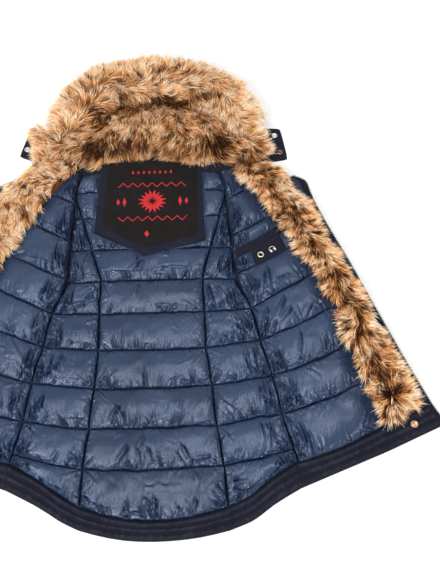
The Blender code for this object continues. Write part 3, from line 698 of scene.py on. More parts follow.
def twill_finish(name, colour, deep, ridge_highlight=None):
    """Matt woven fabric: fine diagonal ribs crossed by the weft, with faint uneven dye;
    the optional paler colour is painted as highlight on a band's ridges, whose grooves
    are then painted deep as shade."""
    finish = Finish(name, Sheen_Weight=0.04, Sheen_Roughness=0.5, Specular_IOR_Level=0.18)
    ribs = finish.bands(700.0, 0.9) * (finish.bands(900.0, -0.5) * 0.5 + 0.5)
    uneven = finish.spread(finish.cloud(25.0, 4.0), 0.3, 0.7)
    cloth = finish.mix(uneven * 0.6 + ribs * 0.4, deep, colour)
    if ridge_highlight:
        # painted highlight on the ridges and painted shade in the grooves, by the ridge value
        ridge = finish.value("ridge") + finish.spread(finish.cloud(140.0, 3.0), 0.3, 0.7, -0.3, 0.2)
        cloth = finish.mix(finish.spread(ridge, 0.0, 0.5), deep, cloth)
        cloth = finish.mix(finish.spread(ridge, 0.55, 1.0), cloth, ridge_highlight)
    finish.feed("Base Color", cloth)
    finish.feed("Roughness", finish.spread(finish.cloud(60.0), 0.3, 0.7, 0.62, 0.80))
    finish.relief(ribs + finish.cloud(90.0, 3.0) * 2.0, 0.00035)
    return finish.material


def embroidery_finish():
    """Red satin stitch: glossy parallel threads."""
    finish = Finish("red_satin_stitch", Specular_IOR_Level=0.3)
    threads = finish.bands(1600.0, 0.4)
    finish.feed("Base Color", finish.mix(threads * 0.35, RED, RED_PALE))
    finish.feed("Roughness", finish.spread(threads, 0.0, 1.0, 0.38, 0.55))
    finish.relief(threads, 0.00025)
    return finish.material


def thread_finish(name, colour):
    """Twisted thread or ribbed plastic: fine bands, half as dark between them."""
    finish = Finish(name, Roughness=0.6)
    twist = finish.bands(2500.0, 0.7)
    finish.feed("Base Color", finish.mix(twist * 0.4, colour, (*(0.5 * part for part in colour[:3]), 1)))
    finish.relief(twist, 0.0001)
    return finish.material


def metal_finish(name, colour, dull):
    """Plated metal: polished, with faint handling marks."""
    finish = Finish(name, Metallic=1.0)
    marks = finish.cloud(900.0, 4.0)
    finish.feed("Base Color", finish.mix(finish.spread(marks, 0.4, 0.8), colour, dull))
    finish.feed("Roughness", finish.spread(marks, 0.3, 0.7, 0.28, 0.44))
    return finish.material


def fur_finish():
    """Long pile, by the stored pile values: place along the hair, tone, and chance."""
    finish = Finish("honey_pile", Roughness=0.62, Specular_IOR_Level=0.16)
    pile = finish.value("pile", "Color")
    along, tone, chance = (finish.node("ShaderNodeSeparateColor", None, {"Color": pile}, output=place)
                           for place in range(3))
    root, middle, tip = (finish.node("ShaderNodeValToRGB", {"stops": zip(TONE_STOPS, colours)},
                                     {"Fac": tone}, output="Color") for colours in (ROOT, MIDDLE, TIP))
    place = along + chance * 0.24 - 0.12
    lower = finish.mix(finish.spread(place, 0.15, 0.58), root, middle)
    coat = finish.mix(finish.spread(place, 0.55, 0.98), lower, tip)
    warm = finish.spread(finish.cloud(38.0, 2.0), 0.42, 0.62, 0.0, 0.75)
    finish.feed("Base Color", finish.mix(warm, coat, (1.0, 0.78, 0.54, 1), "MULTIPLY"))
    return finish.material


# ---- quilted lining

LINING_STEP = 1.7      # spacing of points between seams
ROW_STEPS = 3.3, 1.8   # the same down a channel, in its upper and in its lower part
SEAM_STEPS = (0.0, 0.7, 1.6, 2.8, 4.4)
LOFT = 15.4            # crown of a channel with its wadding shaken up
CREASE_LINE = 2.3      # half width of the shaded line in a crease's trough
CREASE_BOWS = (-0.05, 0.02, 0.06)   # sideways bends of the long creases in turn, as shares of their length
OPEN_SIDE = 60.0       # distance to a side that has no seam


def seam_spaced(width):
    """Places from 0 to 1 across a width in mm, closer together at both ends."""
    inner = np.arange(SEAM_STEPS[-1] + LINING_STEP, width / 2, LINING_STEP)
    half = np.concatenate([SEAM_STEPS, inner])
    return np.concatenate([half, width - half[::-1]]) / width


def row_spaced(length):
    """Places from 0 to 1 down a channel, closer together at its seams and in its lower part."""
    upper = np.arange(SEAM_STEPS[-1] + ROW_STEPS[0], 0.6 * length, ROW_STEPS[0])
    lower = np.arange(upper[-1] + ROW_STEPS[1], length - SEAM_STEPS[-1] - 0.5, ROW_STEPS[1])
    seam = np.array(SEAM_STEPS)
    return np.concatenate([seam, upper, lower, length - seam[::-1]]) / length


def channel_places(marks):
    """Three columns: row places through channels between marks, closer together at each
    mark, and for each its channel's first mark and its share of the way to the next."""
    places, starts, shares = [], [], []
    for start, end in zip(marks[:-1], marks[1:]):
        share = row_spaced(PITCH * max(end - start, 0.5))[:-1]
        places.append(start + (end - start) * share)
        starts.append(np.full(len(share), start))
        shares.append(share)
    places.append([marks[-1]])
    starts.append([marks[-2]])
    shares.append([1.0])
    return (np.concatenate(part)[:, None] for part in (places, starts, shares))


CREASES = (   # long creases: x and y of the start and of the end, width, height
    (-71, 152, -82, 131, 2.6, 2.0), (-68, 150, -61, 128, 2.4, 1.8), (-26, 119, -29, 92, 2.8, 2.4),
    (-21, 109, -38, 82, 2.8, 2.6), (-14, 108, -24, 78, 2.4, 1.8), (-70, 83, -16, 81, 2.6, 2.4),
    (12, 85, 66, 84, 2.8, 2.6), (66, 86, 43, 52, 3.0, 2.8), (-19, 61, -31, 31, 2.6, 2.4),
    (29, 127, 28, 112, 2.4, 2.0), (99, 58, 130, 31, 3.0, 2.6), (98, 53, 114, -2, 2.8, 2.6),
    (99, 46, 105, 0, 2.6, 2.2), (-108, 57, -88, 40, 3.0, 3.0), (-117, 24, -93, 50, 3.2, 3.4),
    (-97, 48, -101, 18, 2.6, 2.8), (-180, 48, -165, 20, 3.0, 2.4), (-176, 48, -172, 18, 2.6, 2.0),
    (-194, 14, -188, -24, 2.6, 2.6), (-188, -20, -178, -44, 2.6, 2.2), (-186, 2, -183, -22, 2.4, 2.2),
    (-180, 0, -178, -22, 2.4, 1.8), (-177, -9, -167, -27, 2.8, 3.0), (-114, 21, -142, 15, 3.2, 3.4),
    (-113, 25, -97, 46, 3.2, 3.2), (-149, -74, -149, -105, 2.2, 1.8), (-136, -49, -145, -63, 2.8, 2.4),
    (-86, -58, -70, -71, 2.6, 2.2), (-171, -91, -155, -112, 3.0, 2.8),
    (206, 76, 211, 15, 3.6, 3.8), (177, 49, 184, 4, 3.0, 2.6), (200, 68, 191, 16, 3.0, 2.6),
    (187, 52, 190, 10, 2.6, 2.2), (220, 44, 270, 59, 2.8, 2.2), (232, 18, 213, -30, 3.2, 3.4),
    (213, -28, 204, -62, 3.0, 2.8), (242, -4, 215, -33, 3.0, 3.0), (277, 0, 256, -38, 2.8, 2.6),
    (202, 0, 192, -38, 3.0, 2.8), (126, -11, 172, -46, 3.0, 3.0), (158, -4, 183, -35, 2.8, 2.6),
    (112, 47, 149, 11, 3.2, 3.0), (250, -45, 238, -117, 2.6, 2.4), (253, -97, 246, -115, 2.6, 2.4),
    (262, -92, 258, -112, 2.4, 2.0), (180, -68, 200, -120, 3.0, 3.0), (186, -68, 207, -119, 2.6, 2.4),
    (135, 105, 142, 71, 2.6, 2.2), (122, -51, 134, -68, 2.8, 2.8), (191, -138, 188, -195, 2.6, 2.8),
    (181, -138, 183, -167, 2.6, 2.2), (200, -137, 200, -194, 2.6, 2.4), (174, -140, 172, -176, 2.4, 2.0),
    (226, -160, 211, -169, 3.0, 2.6), (232, -163, 222, -192, 2.8, 3.0), (238, -160, 235, -192, 2.8, 2.8),
    (245, -165, 240, -190, 2.4, 2.0), (251, -117, 276, -134, 3.0, 2.4), (343, -195, 324, -238, 2.8, 2.4),
    (171, -202, 177, -236, 2.6, 2.4), (178, -202, 179, -228, 2.4, 2.0), (186, -201, 184, -254, 2.6, 2.6),
    # band with painted highlight on its ridges and painted shade in its grooves
    (204, -195, 212, -234, 2.6, 2.4), (225, -219, 216, -247, 3.0, 3.0), (225, -224, 234, -236, 2.8, 2.6),
    (230, -256, 248, -268, 2.8, 2.6), (198, -111, 188, -134, 2.8, 2.8), (-60, -166, -39, -206, 3.0, 3.0),
    (-54, -168, -68, -194, 2.6, 2.4), (-39, -232, -61, -263, 3.2, 3.2), (-15, -217, -25, -244, 3.0, 2.4),
    (-9, -238, 1, -264, 2.8, 2.6), (-26, -238, -22, -264, 2.6, 2.2), (43, -234, 62, -268, 3.0, 3.2),
    (36, -246, 50, -268, 2.6, 2.4), (92, -253, 63, -258, 3.0, 3.2), (61, -258, 57, -269, 2.8, 3.0),
    (121, -216, 108, -241, 2.8, 2.4), (62, -273, 67, -292, 2.6, 2.4), (-15, -299, 14, -295, 2.4, 2.0),
    (8, -295, 46, -297, 2.4, 2.0), (0, -311, -2, -343, 2.8, 3.4), (-16, -313, -5, -324, 2.8, 2.8),
    (35, -327, 43, -340, 3.0, 2.8), (64, -315, 58, -335, 3.0, 2.6), (95, -298, 108, -315, 3.0, 2.8),
    (112, -315, 97, -333, 2.8, 2.8), (122, -297, 146, -291, 3.0, 3.2), (121, -305, 144, -307, 3.0, 3.2),
    (121, -289, 142, -283, 2.6, 2.4), (-109, -313, -98, -329, 2.8, 2.8), (112, -165, 141, -189, 2.8, 2.4),
    (139, -187, 157, -197, 2.4, 2.0), (300, -150, 262, -206, 2.6, 2.0), (-250, -20, -214, -90, 2.8, 2.2),
    (-290, -60, -240, -130, 3.0, 2.4), (-260, -150, -320, -206, 3.0, 2.4),
)


class Creases:
    """Creases over a grid of places (a, b): their summed height, and the shade of their troughs."""

    def __init__(self, a, b):
        self.a, self.b = a, b
        self.height, self.shade = np.zeros_like(a), np.zeros_like(a)

    def add(self, start, end, width, height, bow=0.0):
        """One crease from start to end: a round ridge with a sharp trough beside it, which
        rises quickly at its start, widens, and dies away to its end; bow bends it sideways
        by that share of its length."""
        along = np.array(end, dtype=float) - start
        length = np.hypot(*along)
        along = along / max(length, 1e-6)
        t = ((self.a - start[0]) * along[0] + (self.b - start[1]) * along[1]) / length
        d = (self.b - start[1]) * along[0] - (self.a - start[0]) * along[1]
        d = d + bow * length * np.sin(np.pi * np.clip(t, 0, 1))
        wide = width * (0.65 + 0.6 * np.clip(t, 0, 1))
        fade = ease(-0.04, 0.16, t) * np.clip(1.06 - t, 0.0, 1.0) ** 0.8
        trough = 0.9 * bump(d, 1.5 * wide, 0.7 * wide) + 0.3 * bump(d, -1.8 * wide, wide)
        self.height += height * fade * (bump(d, 0.0, wide) - trough)
        line = np.clip(1.0 - np.abs(d - 1.45 * wide) / CREASE_LINE, 0.0, 1.0)
        self.shade = np.maximum(self.shade, line * fade ** 0.5 * min(0.35 + height / 4.0, 1.0))


class Channel(Creases):
    """Creases of one channel, by distances from its left and from its lower line."""

    def __init__(self, a, b, wide, rng):
        super().__init__(a, b)
        self.wide, self.rng, self.draw = wide, rng, rng.uniform

    def crease(self, start, end, widths, heights, bend=0.0, more=0.0):
        """A crease whose width, height and bend are drawn; more is added to its height."""
        width, height = self.draw(*widths), self.draw(*heights) + more
        self.add(start, end, width, height, self.rng.normal(0.0, bend) if bend else 0.0)

    def standing(self, gather):
        """Short ones on the lower line, in loose groups."""
        crowd = self.rng.integers(0, 1000)
        for _ in range(int(self.wide / 9.0 * gather)):
            place = self.draw(3.0, self.wide - 3.0)
            if noise(place / 26.0, 0.0, crowd) < self.draw(-0.75, 0.35):
                continue
            long, lean = 9.0 + 26.0 * self.rng.random() ** 1.7, self.rng.normal(0.0, 0.42)
            end = (place + long * np.sin(lean), long * np.cos(lean))
            self.crease((place, 0.5), end, (1.6, 3.0), (1.0, 3.2), 0.05)

    def hanging(self):
        """Fewer and shorter ones below the upper line."""
        for _ in range(int(self.wide / 17.0)):
            place, long = self.draw(4.0, self.wide - 4.0), self.draw(6.0, 15.0)
            end = (place + self.rng.normal(0.0, 4.0), PITCH - long)
            self.crease((place, PITCH - 0.5), end, (1.9, 2.6), (0.6, 1.5))

    def from_side(self, edge, inward, gather):
        """Ones that run in from a side."""
        for _ in range(int(PITCH / 14.0 * gather)):
            place, long = self.draw(4.0, PITCH - 4.0), 7.0 + 18.0 * self.rng.random() ** 1.6
            end = (edge + inward * long, place + self.rng.normal(0.0, 0.35) * long)
            self.crease((edge + inward * 0.5, place), end, (2.0, 3.0), (0.8, 2.0))

    def fan(self, edge, line, inward, upward, gathered):
        """Ones that spread out of a corner, more of them where a side is gathered."""
        if not gathered and self.rng.random() < 0.35:
            return
        steepest, shortest, more = (1.45, 12.0, 0.8) if gathered else (1.25, 18.0, 0.0)
        for _ in range(self.rng.integers(3, 6) if gathered else self.rng.integers(1, 4)):
            turn, long = self.draw(0.25, steepest), self.draw(shortest, 46.0)
            end = (edge + inward * long * np.cos(turn), line + upward * long * np.sin(turn))
            self.crease((edge + inward, line + upward), end, (1.7, 2.7), (1.2, 2.6), 0.03, more)

    def bundle(self, edge, inward):
        """Long ones side by side along a gathered side."""
        for place in np.arange(self.draw(3.0, 6.0), self.draw(20.0, 34.0), 5.0):
            level, long = self.draw(-0.1, 0.35) * PITCH, self.draw(30.0, 62.0)
            start = (edge + inward * place, level)
            end = (start[0] + inward * self.draw(-3.0, 8.0), min(level + long, PITCH))
            self.crease(start, end, (1.6, 2.3), (1.8, 3.4), 0.03)

    def rolling(self):
        """A few along the channel, just above its lower line."""
        for _ in range(self.rng.integers(1, 4)):
            place, long = self.draw(0.0, self.wide * 0.8), self.draw(18.0, 50.0)
            level = self.draw(7.0, 13.0)
            end = (place + long, level + self.rng.normal(0.0, 3.0))
            self.crease((place, level), end, (2.0, 2.8), (0.8, 1.8), 0.06)

    def loose(self):
        """Up to two anywhere in the middle, in any direction."""
        for _ in range(self.rng.integers(0, 3)):
            place, level = self.draw(0.1, 0.9) * self.wide, self.draw(0.3, 0.8) * PITCH
            turn, long = self.draw(0.0, np.pi), self.draw(20.0, 45.0)
            end = (place + long * np.cos(turn), level + 0.5 * long * np.sin(turn))
            self.crease((place, level), end, (2.4, 3.6), (0.8, 1.7), 0.06)

    def fill(self, gather, bundles):
        """All of them, in the order of their random draws: gather is their number, and
        bundles names the gathered sides."""
        sides = {"left": (0.0, 1.0), "right": (self.wide, -1.0)}
        self.standing(gather)
        self.hanging()
        for side, (edge, inward) in sides.items():
            self.from_side(edge, inward, gather)
            for line, upward in ((0.0, 1.0), (PITCH, -1.0)):
                self.fan(edge, line, inward, upward, side in bundles)
        for side in bundles:
            self.bundle(*sides[side])
        self.rolling()
        self.loose()


def quilt(x, y, start, share, left, right, seed, gather=1.0, bundles=()):
    """Height of quilted cloth above its seams, how dark each point is painted, in a seam's line
    (part thread, part painted shade) and as painted shade in a crease's trough and at a seam
    crossing, and how crumpled it is, from its plan, its channels' first rows, its share of
    the way to the next, and its distances to the seams on the left and the right.

    A channel is a lopsided arch over its rows, fullest in its lower half, and round
    at both sides; its creases, the long creases and broad unevenness lie over it.
    """
    upper, lower = PITCH * share, PITCH * (1.0 - share)
    crown = np.sin(np.pi * np.clip(share, 0, 1) ** 1.15) ** 0.55 * swell(left) * swell(right)
    beside = 1.3 * np.minimum(left, right)
    near = np.minimum(np.minimum(upper, lower), beside)
    corner = np.hypot(beside, np.minimum(upper, lower))
    # painted shade round the crossings of seams
    crossing_shade = bump(corner, 0.0, 5.0 + 2.5 * noise(x / 13, y / 13, 28))
    loose = ease(0.0, 3.5, near)
    fill = (1.0 + 0.16 * noise(x / 46, y / 30, 11)) * (1.0 - 0.22 * ease(262.0, 290.0, -y))
    creases = 0.9 * noise(x / 21, y / 17, 24 + seed)
    shade = np.zeros_like(x)
    a, b = np.broadcast_to(left, x.shape), np.broadcast_to(lower, x.shape)
    for number, row in enumerate(np.unique(start)):
        chosen = np.flatnonzero(start[:, 0] == row)
        wide = float((left + right)[chosen].mean())
        channel = Channel(a[chosen], b[chosen], wide, np.random.default_rng(seed * 100 + number))
        channel.fill(gather, bundles)
        creases[chosen] += channel.height
        shade[chosen] = channel.shade
    long = Creases(x, y)
    for number, crease in enumerate(CREASES):
        long.add(crease[:2], crease[2:4], *crease[4:], bow=CREASE_BOWS[number % len(CREASE_BOWS)])
    creases = np.clip(creases + long.height, -3.2, 4.2)
    height = (LOFT - SEAM) * crown * fill + 1.6 * creases * loose * (0.4 + 0.6 * crown)
    uneven = np.maximum(2.0 + 1.3 * noise(x / 7, y / 7, 26) + 0.9 * noise(x / 26, y / 26, 27), 0.8)
    closest = np.minimum(lower + 4.0, np.minimum(1.4 * upper + 6.0, np.minimum(left, right) + 3.0))
    crumple = (0.12 + 0.88 * bump(closest, 0.0, 17.0)) * ease(0.0, 2.5, near)
    # dark line of the seams, part thread and part painted shade in their valleys
    seam = np.clip(1.0 - 0.7 * near / uneven, 0.0, 1.0)
    # painted shade of crease troughs and of seam crossings, stronger on gathered sides, joins the seams'
    # dark lines
    seam = np.maximum(seam, 0.95 * np.maximum(shade, long.shade) * loose)
    seam = np.maximum(seam, (1.0 if bundles else 0.75) * crossing_shade)
    return height, seam, crumple


def lining_panel(name, node, plan, under, quilted, material, side=1, low=None):
    """Quilted panel whose seams lie on the layer at height low, and its underside at under."""
    raised, seam, crumple = quilted
    top = (under if low is None else low) + SEAM + raised
    # the seam value carries the seams' dark lines and painted shade into the finish's colour
    piece = closed_grid(name, plan, top, under, material, "lining_blue", side,
                        attributes={"seam": seam, "crumple": crumple})
    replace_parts(piece, node)


def back_centre_lining(material):
    """Channels between the princess seams, pressed flat under the neck facing."""
    at, start, share = channel_places(range(len(BACK_ROWS)))
    across = 2.0 * seam_spaced(210.0) - 1.0
    half, centre, edge = (back_point(name, at) for name in ("x_princess", "y_centre", "y_princess"))
    half = half - GAP
    plan = sway(np.stack([half * across, centre + (edge - centre) * across ** 2], axis=-1))
    x, y = plan[..., 0], plan[..., 1]
    raised, seam, crumple = quilt(x, y, start, share, half * (1 + across), half * (1 - across), 1)
    from_facing = outside(FACING_LAID, x, y)
    raised = raised * swell(np.maximum(from_facing - 1.0, 0.0))
    raised = np.where(from_facing < 0, under_facing(x, y), raised)
    seam = np.where(from_facing < 0, 0.0, seam)
    lining_panel("lining_back_centre", "back_lining_centre", plan, ON_SHELL, (raised, seam, crumple),
                 material)


def slit(side, at, away):
    """Shade along an armhole, where front and back part: 1 at the opening, down to its end."""
    return bump(away, 0.0, 6.5 if side > 0 else 9.5, 4) * (1.0 - ease(4.2, 5.2, at))


def back_side_lining(side, material):
    """Channels between the princess seam and the armhole or side seam."""
    marks = [BACK_PANEL_TOP, *range(int(np.ceil(BACK_PANEL_TOP)), len(BACK_ROWS))]
    at, start, share = channel_places(marks)
    across = seam_spaced(100.0)
    begin = np.stack([back_point("x_princess", at) + GAP, back_point("y_princess", at)], axis=-1)
    end = np.stack([back_point("x_side", at) - GAP, back_point("y_side", at)], axis=-1)
    plan = sway(ruled(begin, end, across) * [side, 1.0]) * [side, 1.0]
    x, y = side * plan[..., 0], plan[..., 1]
    width = (end - begin)[..., 0]
    left, right = width * across, width * (1.0 - across)
    raised, seam, crumple = quilt(x, y, start, share, left, right, 4 + side, 1.4, ("right",))
    # painted shade along the armhole opening
    seam = np.maximum(seam, slit(side, at, right))
    name = SIDES[side]
    lining_panel(f"lining_back_{name}", f"back_lining_side_{name}", plan, ON_SHELL, (raised, seam, crumple),
                 material, side)


def front_marks(side):
    """Quilting lines of a front: the pocket's upper line is on the right only."""
    rows = [float(row) for row in range(len(FRONT_ROWS)) if row != POCKET_ROW]
    return sorted([*rows, POCKET[0][1][0]]) if side > 0 else rows


ROW_STEP, COLUMN_STEP = 42.0, 95.0   # mm between rows and between columns near the pocket


def from_pocket(at, across):
    """0 below the pocket's welt and patch, 1 away from them."""
    clear = np.ones(np.broadcast(at, across).shape)
    for _, rows, columns, _ in POCKET:
        above = np.maximum(rows[0] - at, at - rows[1]) * ROW_STEP
        beside = np.maximum(columns[0] - across, across - columns[1]) * COLUMN_STEP
        clear = clear * swell(np.maximum(np.maximum(above, beside) - 0.6, 0.0))
    return clear


def front_lining(side, material):
    """Channels from the armhole or side seam to the fur, and flat below the fur."""
    at, start, share = channel_places(front_marks(side))
    across = np.concatenate([seam_spaced(135.0), [1.12, 1.3, 1.5, 1.7, FUR_EDGE]])
    plan = sway(front_plan(at, across) * [side, 1.0]) * [side, 1.0]
    x, y = side * plan[..., 0], plan[..., 1]
    width = np.linalg.norm(front_plan(at, 1.0) - front_plan(at, 0.0), axis=-1)
    left = width * across
    right = np.where(across < 1.0, width * (1.0 - across), 90.0 * (1.0 - across))
    raised, seam, crumple = quilt(x, y, start, share, left, np.full_like(left, OPEN_SIDE), 8 + side, 1.2,
                                  ("left",))
    # painted shade along the armhole opening
    seam = np.maximum(seam, slit(side, at, 1.4 * left))
    raised = raised * ease(-16.0, 30.0, right)
    if side > 0:
        raised = raised * from_pocket(at, across)
    # painted shade on the lining beside the fur strip, stronger on the right, and full dark where the fur
    # covers it
    shaded = (0.54 if side > 0 else 0.36) * (1.0 - ease(0.0, 30.0, right))
    seam = np.maximum(np.maximum(seam, shaded), ease(1.1, 1.4, across))
    low = front_low(at, across) + SHELL + GAP
    under = np.where(left < 2.0, np.minimum(low, ON_SHELL + SEAM + 0.5), low)
    name = SIDES[side]
    lining_panel(f"lining_front_{name}", f"front_lining_{name}", plan, under, (raised, seam, crumple),
                 material, side, low)


# ---- fur

NAPE_X = (-150, -122, -107, -90, -60, 20, 60, 97, 122, 150)    # lower edge of the hood's pile
NAPE_Y = (335, 338, 335, 350, 355, 356, 343, 336, 343, 336)
HAIR_PLACES = np.array([0.0, 0.36, 0.72, 1.0])    # points along a hair
HAIR_WIDTHS = np.array([0.80, 1.0, 0.66, 0.0])    # its width there, as shares
HAIR_WIDTH = 1.4
LOCK, STRAND = 10.0, 4.2   # size of the locks that hairs gather into, and of their strands
TO_LOCK, TO_STRAND = 0.22, 0.56   # how far their tips draw in to the middles of both
GUARD = 0.22           # share of longer and finer hairs
SKIN_SHARE = 0.55      # height of the pile's dense undercoat, as a share of the whole
RIM_PILE = (0.5, 0.42, 0.5)       # place along the hair, tone and chance down the undercoat's sides
SIDE_LEAN, SIDE_HAIR = 4.0, 15.0  # lean of those sides, and the length of the hair on them
BARE = ((264, 385, 31), (271, 350, 26), (-252, 353, 22))   # x, y, radius clear of hair, on the tabs

# The row of darker patches from x -144 to 121 at about y 433 to 458 is painted shade in the crease between
# the brim and the hood's lining; the others are darker and paler patches of the pile.
TONE_AND_SHADE_PATCHES = (   # x, y, reach in x and in y, and change: darker patches are negative
    (-61, 498, 11, 9, -0.45), (-47, 514, 11, 9, -0.45), (-44, 467, 10, 10, -0.40),
    (-116, 456, 17, 10, -0.45), (-101, 441, 13, 9, -0.35), (-144, 444, 10, 10, -0.35),
    (17, 530, 13, 8, -0.45), (-83, 433, 22, 8, -0.50), (-59, 444, 22, 7, -0.55),
    (-19, 451, 30, 8, -0.55), (21, 447, 26, 8, -0.50), (62, 453, 24, 8, -0.45),
    (-97, 410, 14, 16, -0.45), (-112, 348, 24, 20, -0.75), (-45, 352, 34, 12, -0.45),
    (25, 525, 16, 12, -0.45), (82, 515, 24, 14, -0.50), (32, 458, 30, 10, -0.40),
    (88, 451, 22, 8, -0.40), (121, 458, 16, 12, -0.40), (169, 487, 16, 10, -0.25),
    (102, 396, 18, 14, -0.35), (134, 351, 24, 26, -0.75), (187, 316, 22, 22, -0.50),
    (168, 363, 14, 12, -0.30), (1, 400, 30, 14, -0.25), (50, 365, 20, 12, -0.25),
    (-140, 384, 9, 8, -0.40), (-156, 396, 14, 10, -0.25), (-160, 420, 34, 34, 0.26),
    (200, 440, 42, 45, 0.26), (-20, 545, 110, 16, 0.18), (-10, 395, 26, 14, 0.12),
    (224, 276, 20, 15, -0.32), (235, 254, 14, 12, -0.25), (221, 242, 12, 10, -0.25),
    (247, 209, 16, 14, -0.25), (266, 203, 12, 14, -0.36), (263, 172, 14, 16, -0.28),
    (274, 144, 10, 14, -0.30), (307, 138, 9, 10, -0.25), (294, 98, 14, 14, -0.32),
    (317, 36, 12, 22, -0.32), (332, -1, 11, 16, -0.34), (351, -68, 12, 20, -0.30),
    (370, -113, 12, 16, -0.36), (378, -142, 13, 14, -0.34), (379, -168, 10, 11, -0.40),
    (340, -30, 12, 14, 0.12), (262, 232, 14, 12, 0.12), (288, 170, 12, 14, 0.10), (318, 86, 12, 18, 0.12),
)


def tone_at(x, y, seed):
    """Lightness of the pile from 0 to 1 by place: streaky noise and the listed patches, a row
    of which is painted shade in the crease between the brim and the hood's lining.
    """
    tone = 0.71 + 0.15 * noise(x / 30, y / 22, seed) + 0.22 * noise(x / 10, y / 8, seed + 1)
    tone = tone - 1.25 * np.clip(noise(x / 7, y / 6, seed + 2) - 0.22, 0.0, 1.0)
    for cx, cy, reach_x, reach_y, change in TONE_AND_SHADE_PATCHES:
        tone = tone + 1.2 * change * np.exp(-((x - cx) / reach_x) ** 2 - ((y - cy) / reach_y) ** 2)
    return tone


def scatter(skin, count, rng):
    """Even random places on a grid: position, upward normal, and place by row and column."""
    right, down = skin[:-1, 1:] - skin[:-1, :-1], skin[1:, :-1] - skin[:-1, :-1]
    area = np.linalg.norm(np.cross(down, right), axis=-1).ravel()
    cell = rng.choice(area.size, count, p=area / area.sum())
    row, col = np.divmod(cell, skin.shape[1] - 1)
    u, v = rng.random((2, count))
    steepness = unit(np.cross(np.gradient(skin, axis=0), np.gradient(skin, axis=1)))
    steepness *= np.sign(steepness[..., 2:] + 1e-9)
    found = []
    for grid in (skin, steepness):
        top = grid[row, col] * (1 - u)[:, None] + grid[row, col + 1] * u[:, None]
        low = grid[row + 1, col] * (1 - u)[:, None] + grid[row + 1, col + 1] * u[:, None]
        found.append(top * (1 - v)[:, None] + low * v[:, None])
    return found[0], unit(found[1]), (row + v) / (skin.shape[0] - 1), (col + u) / (skin.shape[1] - 1)


def locks(x, y, size, seed):
    """Middle of the lock around each place, and two chances of that lock: the nearest
    of the middles of a jittered lattice."""
    ix, iy = np.floor(x / size), np.floor(y / size)
    best = np.full(x.shape, np.inf)
    middle, chance = np.zeros((2, len(x))), np.zeros((2, len(x)))
    for step_x in (-1, 0, 1):
        for step_y in (-1, 0, 1):
            jx, jy = ix + step_x, iy + step_y
            mx = (jx + 0.5 + 0.42 * lattice(jx, jy, seed)) * size
            my = (jy + 0.5 + 0.42 * lattice(jx, jy, seed + 1)) * size
            far = (mx - x) ** 2 + (my - y) ** 2
            nearer = far < best
            best = np.where(nearer, far, best)
            middle = np.where(nearer, (mx, my), middle)
            chance = np.where(nearer, (lattice(jx, jy, seed + 2), lattice(jx, jy, seed + 3)), chance)
    return middle, chance


def turned(direction, angle):
    """Plan directions turned by an angle each."""
    cos, sin = np.cos(angle), np.sin(angle)
    return np.stack([direction[:, 0] * cos - direction[:, 1] * sin,
                     direction[:, 0] * sin + direction[:, 1] * cos], axis=1)


def clear_of_tabs(path, rims, side):
    """Hair paths (hair, point, 3), shortened where the tip would lie over a bare circle on
    a tab: each hair keeps the share that ends at the circle's rim, rims times its radius."""
    for bare_x, bare_y, radius in BARE:
        centre = np.array([side * bare_x, bare_y])
        from_root, from_tip = (np.hypot(*(path[:, end, :2] - centre).T) for end in (0, -1))
        kept = np.clip((from_root - radius * rims) / np.maximum(from_root - from_tip, 1.0), 0.3, 1.0)
        kept = np.where(from_tip < radius * rims, kept, 1.0)[:, None, None]
        path = path[:, :1] + (path - path[:, :1]) * kept
    return path


def hair_faces(path, reach):
    """Points of ribbons reach to either side of their paths and meeting in a tip, and their
    four-sided and three-sided faces."""
    count, spans = len(path), path.shape[1] - 1
    pairs = np.stack([path - reach, path + reach], axis=2)[:, :spans].reshape(count, 2 * spans, 3)
    base = (2 * spans + 1) * np.arange(count)[:, None]
    quads = [base + [2 * k, 2 * k + 1, 2 * k + 3, 2 * k + 2] for k in range(spans - 1)]
    tips = base + [2 * spans - 2, 2 * spans - 1, 2 * spans]
    return np.concatenate([pairs, path[:, spans:]], axis=1), np.concatenate(quads), tips


